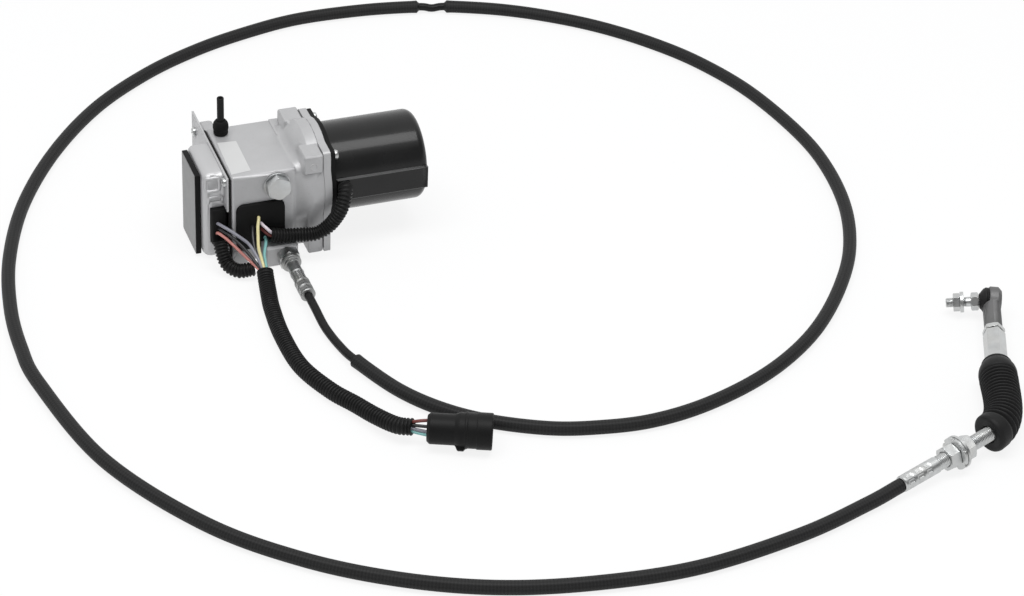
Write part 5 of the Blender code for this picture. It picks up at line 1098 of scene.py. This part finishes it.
# %% [markdown]
# ## The motor's can
# A motor can is drawn from sheet steel, so its closed end has a large round and a pressed ring that stiffens
# it. Seen from the front it has a raised flat strip. The strip is the same grid with the radius pushed out
# to a plane: a plane at distance d from the axis has the radius d / cos(angle).

# %% Motor can
CAN = axis_frame(np.array([61.3, 0, 58.0]) * MM, (1, 0, 0), (0, -1, 0))
STRIP_PLANE, STRIP_REACH = 39.6, 0.262


def strip(radius, angle, height):
    """Near the front the radius is at least the plane's distance / cos(angle), between the strip's ends."""
    away = np.abs(from_middle(angle, 0, 1))
    beside = np.clip((STRIP_REACH - away) / 0.012, 0, 1)
    rise = np.clip((height - 0.8 * MM) / (0.5 * MM), 0, 1)
    fall = np.clip((80.9 * MM - height) / (0.6 * MM), 0, 1)
    outer = radius > 37 * MM
    near_end = (radius > 33 * MM) & (height > 76 * MM)
    plane = np.maximum(radius, STRIP_PLANE * MM / np.cos(np.minimum(away, 0.3)))
    return radius + (plane - radius) * beside * rise * fall * (outer | near_end)


turn_down = np.linspace(0, math.pi / 2, 12)[1:]
can_end = np.stack([31 + 7 * np.cos(turn_down), 75 + 7 * np.sin(turn_down)], axis=1)
can_profile = np.vstack([
    [(35.9, 79.0), (35.9, 20.0), (35.9, 0.2)],
    [(36.3, 0.0), (37.6, 0.0), (38.0, 0.4), (38.0, 0.8), (38.0, 1.3)],
    rod_profile(38.0, 2.0, 75.0, 9), can_end,
    rounded([(30.5, 82.0), (28.0, 82.0), (26.6, 80.9), (16.6, 80.9), (15.2, 82.0), (7.0, 82.0)], 0.8),
    [(1.2, 82.0)],
])
fold = 0.256 + np.linspace(-0.014, 0.014, 8)
around = np.unique(np.concatenate([even_angles(96), np.mod(np.concatenate([-fold, fold]), math.tau)]))
can = ride_as(
    turned("drawn_motor_can", can_profile, CAN, GLOSS_BLACK, shape=strip, angles=around),
    "unit", "motor_black", "motor_can",
)
print("motor can:", len(can.data.polygons), "faces")

# %% [markdown]
# ## Screws
# The screws have low round heads with a cross recess. The cross is two slots: where a point of the head lies
# close to either slot's middle line, its height drops.

# %% Screws
def cross_screw(name, where, head, tall, shank, length):
    """Height = dome - recess, which is 1 where the point lies near x = 0 or y = 0 and fades at its edge."""
    origin, side, across, axis = where
    a = even_angles(48)
    top = np.linspace(0.15, head - 0.5, 15)
    x, y = top[:, None] * np.cos(a), top[:, None] * np.sin(a)
    near = np.minimum(np.abs(x), np.abs(y))
    slot = np.clip((0.55 - near) / 0.2, 0, 1) * np.clip((head * 0.62 - top[:, None]) / 0.4, 0, 1)
    dome = tall - 0.7 * (top[:, None] / head) ** 2
    rows = [(top[:, None] + 0 * x, dome - slot * 1.3)]
    below = [
        (head - 0.1, tall - 1.3), (head, tall - 2.0), (head, 0.9), (head - 0.2, 0.32), (shank, 0.3),
        (shank, -length),
    ]
    rows += [(np.full((1, len(a)), r), np.full((1, len(a)), h)) for r, h in below]
    radius, height = (np.vstack([row[k] for row in rows]) * MM for k in (0, 1))
    out = side * np.cos(a)[:, None] + across * np.sin(a)[:, None]
    return skin(name, origin + axis * height[..., None] + out[None] * radius[..., None], [ZINC])


SCREWS = {
    "motor": (61.0, (1, 0, 0), (0, -1, 0), (4.2, 4.3, 2.5, 18),
              [(-30.5, 27.5), (-30.5, 88.5), (30.5, 27.5), (30.5, 88.5)]),
    "cover": (-30.0, (-1, 0, 0), (0, 0.8, 0.6), (4.0, 4.5, 2.0, 9),
              [(-31.3, 78.5), (-31.3, 6), (64, 70), (64, 10)]),
}
for group, (x, way, across, sizes, places) in SCREWS.items():
    for i, (y, z) in enumerate(places, 1):
        where = axis_frame(np.array([x, y, z]) * MM, way, across)
        screw = cross_screw(f"pan_head_{group}_{i}", where, *sizes)
        ride_as(screw, "unit", "zinc_steel", f"{group}_screw_{i}")

print("screws:", sum(len(group[-1]) for group in SCREWS.values()))

# %% [markdown]
# ## Plug and breather
# The large hexagon plug closes the oil hole, on a flat sealing washer. The breather is a rubber bell on a
# short hose, which lets air in and out of the gearbox.

# %% Plug and breather
PLUG_AT = axis_frame(np.array([10.8, -37.1, 72.5]) * MM, (0, -1, 0), (1, 0, 0))
ride_as(turned(
    "plug_seal_washer",
    rounded([(6.3, 0), (11.3, 0), (11.5, 0.2), (11.5, 1.0), (11.3, 1.2), (6.3, 1.2)], 0.15),
    PLUG_AT, ZINC, 72, wrap=True,
), "unit", "zinc_steel", "plug_washer")
plug_corner = 19 / math.sqrt(3)
PLUG_FLATS_TURN = math.radians(5)
plug = ride_as(turned("hexagon_plug", np.vstack([
    [(5.2, -7.5), (6.0, -6.6), (6.0, 1.4), (9.2, 1.5)], np.linspace((10.3, 1.5), (plug_corner, 1.9), 3),
    rod_profile(plug_corner, 2.4, 7.2, 1), np.linspace((plug_corner, 7.5), (10.1, 8.0), 4),
    [(9.2, 8.02), (4, 8.0)],
]), PLUG_AT, ZINC, angles=steps_from(PLUG_FLATS_TURN, 96),
    shape=hexagon(19, PLUG_FLATS_TURN, 9.0)), "unit", "zinc_steel", "plug_bolt")

BREATHER = axis_frame(np.array([-17.5, 33, 84.8]) * MM, (0, 0, 1), (1, 0, 0))
breather_bell = ride_as(turned("breather_bell", rounded([
    (3.2, 0.2), (5.6, 0.1), (6.1, 0.6), (6.2, 3.6), (6.0, 4.3), (6.6, 5.2), (6.6, 8.6), (6.0, 10.8),
    (4.8, 12.5), (4.2, 13.0), (3.2, 12.9),
], 0.8), BREATHER, MATT_RUBBER, 48, wrap=True), "unit", "black_rubber", "breather_cap")
breather_pipe = ride_as(turned("breather_pipe", np.vstack([
    [(1.5, -3.8), (3.0, -3.8), (3.0, 12)], rod_profile(2.95, 14, 32, 3),
    [(3.0, 34.3), (2.7, 34.9), (2.2, 35.0), (1.6, 34.6), (1.5, 33.0)],
]), BREATHER, RUBBER, 32, wrap=True), "unit", "black_rubber", "breather_tube")
print("plug:", plug.name, "; breather:", breather_bell.name, breather_pipe.name)

# %% [markdown]
# ## Castings, cover and rubber seats
# These shapes are already right in the CAD model, but its meshes are loose triangles. A merged copy can be
# shaded smooth between its flats, and the finishes shade its long edges as if they were slightly rounded.

# %% Housing, cover and seats
def dressed(node, name, finish, slot):
    return ride_as(copy_of(node, name, finish), "unit", slot, node)


PAD_GREY = forged("satin_plate", 0.25, 0.4, 0.3)
housing = dressed("gearbox_housing", "cast_gearbox", CAST, "cast_housing")
dressed("adapter_plate", "cast_adapter", CAST, "cast_housing")
dressed("end_cover", "pressed_end_cover", PRESSED, "pressed_cover")
dressed("motor_flange", "black_flange", MATT_RUBBER, "motor_black")
dressed("housing_gasket", "paper_gasket", MATT_RUBBER, "gasket_rubber")
dressed("cover_pad", "rubber_pad", MATT_RUBBER, "black_rubber")
dressed("front_grommet", "front_seat", MATT_RUBBER, "black_rubber")
dressed("cover_grommet", "cover_seat", MATT_RUBBER, "black_rubber")
print("dressed the castings;", len(housing.data.polygons), "faces in the housing")

# %% [markdown]
# Four small pieces lie on the castings: a plate on the cover's pad, a blank label, a web beside the motor,
# and the ring that an ejector pin leaves.

# %% Plates and marks
def thin_plate(name, corners, normal, thick, round_by, finish, slot):
    """A plate from four corners: its outline is cut by quadratic arcs, then raised in three thin rows."""
    corners = np.asarray(corners, float)
    t = np.linspace(0, 1, 6)[:, None]
    outline = []
    for k in range(4):
        corner, a, b = corners[k], corners[k - 1] - corners[k], corners[(k + 1) % 4] - corners[k]
        a, b = corner + unit(a) * round_by, corner + unit(b) * round_by
        outline.append(a * (1 - t) ** 2 + corner * 2 * t * (1 - t) + b * t ** 2)
    outline = np.vstack(outline)
    normal, middle = np.asarray(normal, float), outline.mean(0)
    inset = middle + (outline - middle) * (1 - 0.05 / np.linalg.norm(outline - middle, axis=1, keepdims=True))
    rows = np.stack([outline, outline + normal * thick * 0.6, inset + normal * thick])
    return ride_as(skin(name, rows * MM, [finish]), "unit", slot)


thin_plate(
    "satin_pad_plate", [(-53.5, -17.2, 3.2), (-53.5, 23.2, 3.2), (-53.5, 23.2, 79.6), (-53.5, -17.2, 79.6)],
    (-1, 0, 0), 0.35, 2.0, PAD_GREY, "grey_steel",
)


def label_paper():
    made = Finish("blank_label")
    cloud = made.noise(60, 3)
    made.put("Base Color", made.mix(cloud, (0.56, 0.56, 0.555), (0.61, 0.61, 0.605)))
    made.put("Roughness", 0.42 + cloud * 0.15)
    made.bump(made.noise(900, 3), 0.00002, 0.4)
    return made.material


thin_plate(
    "blank_label_plate",
    [(-26.0, -30.6, 84.55), (-9.0, -28.8, 84.55), (-8.4, 18.2, 84.55), (-24.4, 19.4, 84.55)],
    (0, 0, 1), 0.2, 0.5, label_paper(), "black_plastic",
)
MARK = axis_frame(np.array([38.2, -51.0, 92.8]) * MM, (0, -1, 0))
thin_plate(
    "casting_web", [(26.5, 18, 60.6), (35.4, 18, 60.6), (35.4, 43.4, 60.6), (26.5, 43.7, 60.6)], (0, 0, 1),
    24.0, 1.2,
    CAST, "cast_housing",
)
ride_as(turned("ejector_mark", [
    (3.4, -0.2), (3.4, 0.15), (3.2, 0.32), (2.9, 0.3), (2.7, 0.08), (2.0, 0.04), (0.5, 0.04),
], MARK, CAST, 40), "unit", "cast_housing")
print("plates and marks: 4")

# %% [markdown]
# ## Pressed rims
# Two shallow recesses in the cover's front are framed by rounded rims, which the press pushes out of the
# sheet. Each is a bead along a rounded rectangle. It follows the cover's rounded edge, half sunk in it.

# %% Pressed rims
COVER_FRONT, COVER_ROUND = -26, 7
FLAT_LEFT, FLAT_TOP = -42, 76


def pressed_rim(name, centre, half, bead, sink):
    """x and z = centre + half * cosine and sine, each to the power 0.4; y = the cover's face, sunk below."""
    t = even_angles(96)
    x, z = (
        middle + reach * np.sign(wave) * np.abs(wave) ** 0.4
        for middle, reach, wave in zip(centre, half, (np.cos(t), np.sin(t)))
    )
    away = np.hypot(np.maximum(0, FLAT_LEFT - x), np.maximum(0, z - FLAT_TOP))
    behind = COVER_ROUND - np.sqrt(COVER_ROUND ** 2 - away ** 2)
    lower = np.clip((centre[1] - z) / half[1], 0, 1)
    path = np.stack([x, COVER_FRONT + 0.3 + behind + sink * lower, z], axis=1) * MM
    way = unit(np.roll(path, -1, axis=0) - np.roll(path, 1, axis=0))
    grid = rings(path, way, np.full(len(path), bead * MM), 16, (0.0, -1.0, 0.0))
    return ride_as(skin(name, grid, [PRESSED], wrap_rows=True), "unit", "pressed_cover")


rims = [
    pressed_rim("cover_rim_upper", (-40.9, 74.0), (5.7, 5.9), 1.5, 0.0),
    pressed_rim("cover_rim_lower", (-38.6, 58.2), (5.8, 3.9), 1.5, 1.9),
]
print("pressed rims:", [rim.name for rim in rims])

# %% [markdown]
# ## Inside
# The gears, shafts, magnets and switches can't be seen, but each has its own finish, because a reader may
# take the lid off.

# %% Inner pieces
INNER = {
    "armature": MACHINED, "gear_carrier": MACHINED, "crank_arm": MACHINED, "output_bearing": MACHINED,
    "motor_bearing": MACHINED, "planet_gear_1": MACHINED, "planet_gear_2": MACHINED,
    "planet_gear_3": MACHINED,
    "ring_gear": MACHINED, "upper_magnet": MAGNET, "lower_magnet": MAGNET, "brush_plate": PLASTIC,
    "position_sensor": PLASTIC, "cable_core": ZINC,
}
for name, finish in INNER.items():
    mesh = nodes[name].data
    mesh.materials.clear()
    mesh.materials.append(finish)
print("inner pieces finished:", len(INNER))

# %% [markdown]
# ## What is flexible
# The cable, the conduits and the longer wires are free lengths. Here the wires longer than LONG_WIRE are
# gathered and all are counted.

# %% Cords
LONG_WIRE = 0.031

long_wires = [laid for laid in front_wires + cover_wires if laid[2] > LONG_WIRE]
print("free lengths:", 3 + len(long_wires))

# %% [markdown]
# ## Floor
# The object lies on a white floor. The floor glows to the camera and in reflections, so the background is
# white there, while the light that falls on the object comes from the lamp and the room.

# %% Floor
FLOOR_HALF, FLOOR_GLOW = 6.0, 0.85


def seen_rays(tree):
    """1 for camera, glossy and transmission rays, and 0 for the rays that light the object."""
    rays = ("Is Camera Ray", "Is Glossy Ray", "Is Transmission Ray")
    return tree.largest(*(tree.node("LightPath", out=ray) for ray in rays))


def make_floor():
    """One square of 12 m, level with the object's lowest point."""
    mesh = bpy.data.meshes.new("studio_floor")
    half, low = FLOOR_HALF, cad_box[0][2] - 0.2 * MM
    corners = [(-half, -half, low), (half, -half, low), (half, half, low), (-half, half, low)]
    mesh.from_pydata(corners, [], [(0, 1, 2, 3)])
    made = bpy.data.objects.new("studio_floor", mesh)
    bpy.context.scene.collection.objects.link(made)
    finish = Finish("studio_white", 0.9)
    finish.put("Base Color", (0.9, 0.9, 0.9, 1))
    finish.put("Specular IOR Level", 0.0)
    glow = finish.node("Emission", sockets={"Color": (1, 1, 1, 1), "Strength": 1.0})
    plain = Signal(finish, finish.shader.outputs[0])
    both = finish.node("MixShader", sockets={0: seen_rays(finish) * FLOOR_GLOW, 1: plain, 2: glow})
    finish.tree.links.new(both.socket, finish.tree.nodes["Material Output"].inputs["Surface"])
    mesh.materials.append(finish.material)
    return made


floor = make_floor()
print(floor.name, "at", round(cad_box[0][2] / MM, 2), "mm")

# %% [markdown]
# ## Light and room
# A product photograph is lit by a large soft lamp in a pale room. A darker band in front gives the plated
# steel something to reflect.

# %% Light
LAMP_PLACE, LAMP_AIM = (-0.05, -0.42, 2.3), (0.0, -0.1, 0.0)
LAMP_LONG, LAMP_WIDE, LAMP_WATTS = 2.4, 1.0, 36
ROOM_LIGHT, BAND_DARKNESS = 0.62, 0.82


def make_light():
    """A wide lamp high above and slightly in front, turned so that its -Z axis points at the object."""
    data = bpy.data.lights.new("soft_key", "AREA")
    data.shape, data.size, data.size_y, data.energy = "RECTANGLE", LAMP_LONG, LAMP_WIDE, LAMP_WATTS
    made = bpy.data.objects.new("soft_key", data)
    place, aim = Vector(LAMP_PLACE), Vector(LAMP_AIM)
    made.matrix_world = (aim - place).to_track_quat("-Z", "Y").to_matrix().to_4x4()
    made.matrix_world.translation = place
    bpy.context.scene.collection.objects.link(made)


class Room(Finish):
    """The world's nodes, made with the same methods as a finish."""

    def __init__(self, name):
        world = bpy.data.worlds.new(name)
        world.use_nodes = True
        bpy.context.scene.world = world
        self.tree = world.node_tree
        self.tree.nodes.clear()


def make_room():
    """Seen tone = 1 - dark band over the height of the direction * how far the direction points forwards."""
    room = Room("pale_room")
    way = room.node("TexCoord", out="Generated")
    forward, high = room.part(way, 1), room.part(way, 2)
    band = room.node("ValToRGB", {"stops": (
        (0.0, grey(0.0)), (0.10, grey(0.35)), (0.28, grey(1.0)), (0.66, grey(1.0)), (0.86, grey(0.0)),
    )}, {0: high})
    side = room.node("Math", {"operation": "ADD", "use_clamp": True}, {0: forward * -1.3, 1: 0.55})
    shown = room.node("Background", sockets={"Color": 1 - band * side * BAND_DARKNESS, "Strength": 1.0})
    even = room.node("Background", sockets={"Color": (0.97, 0.98, 1.0, 1), "Strength": ROOM_LIGHT})
    both = room.node("MixShader", sockets={0: seen_rays(room), 1: even, 2: shown})
    room.node("OutputWorld", sockets={"Surface": both})


make_light()
make_room()
bpy.context.scene.view_settings.view_transform = "Standard"
print("lamp at", LAMP_PLACE, "m")
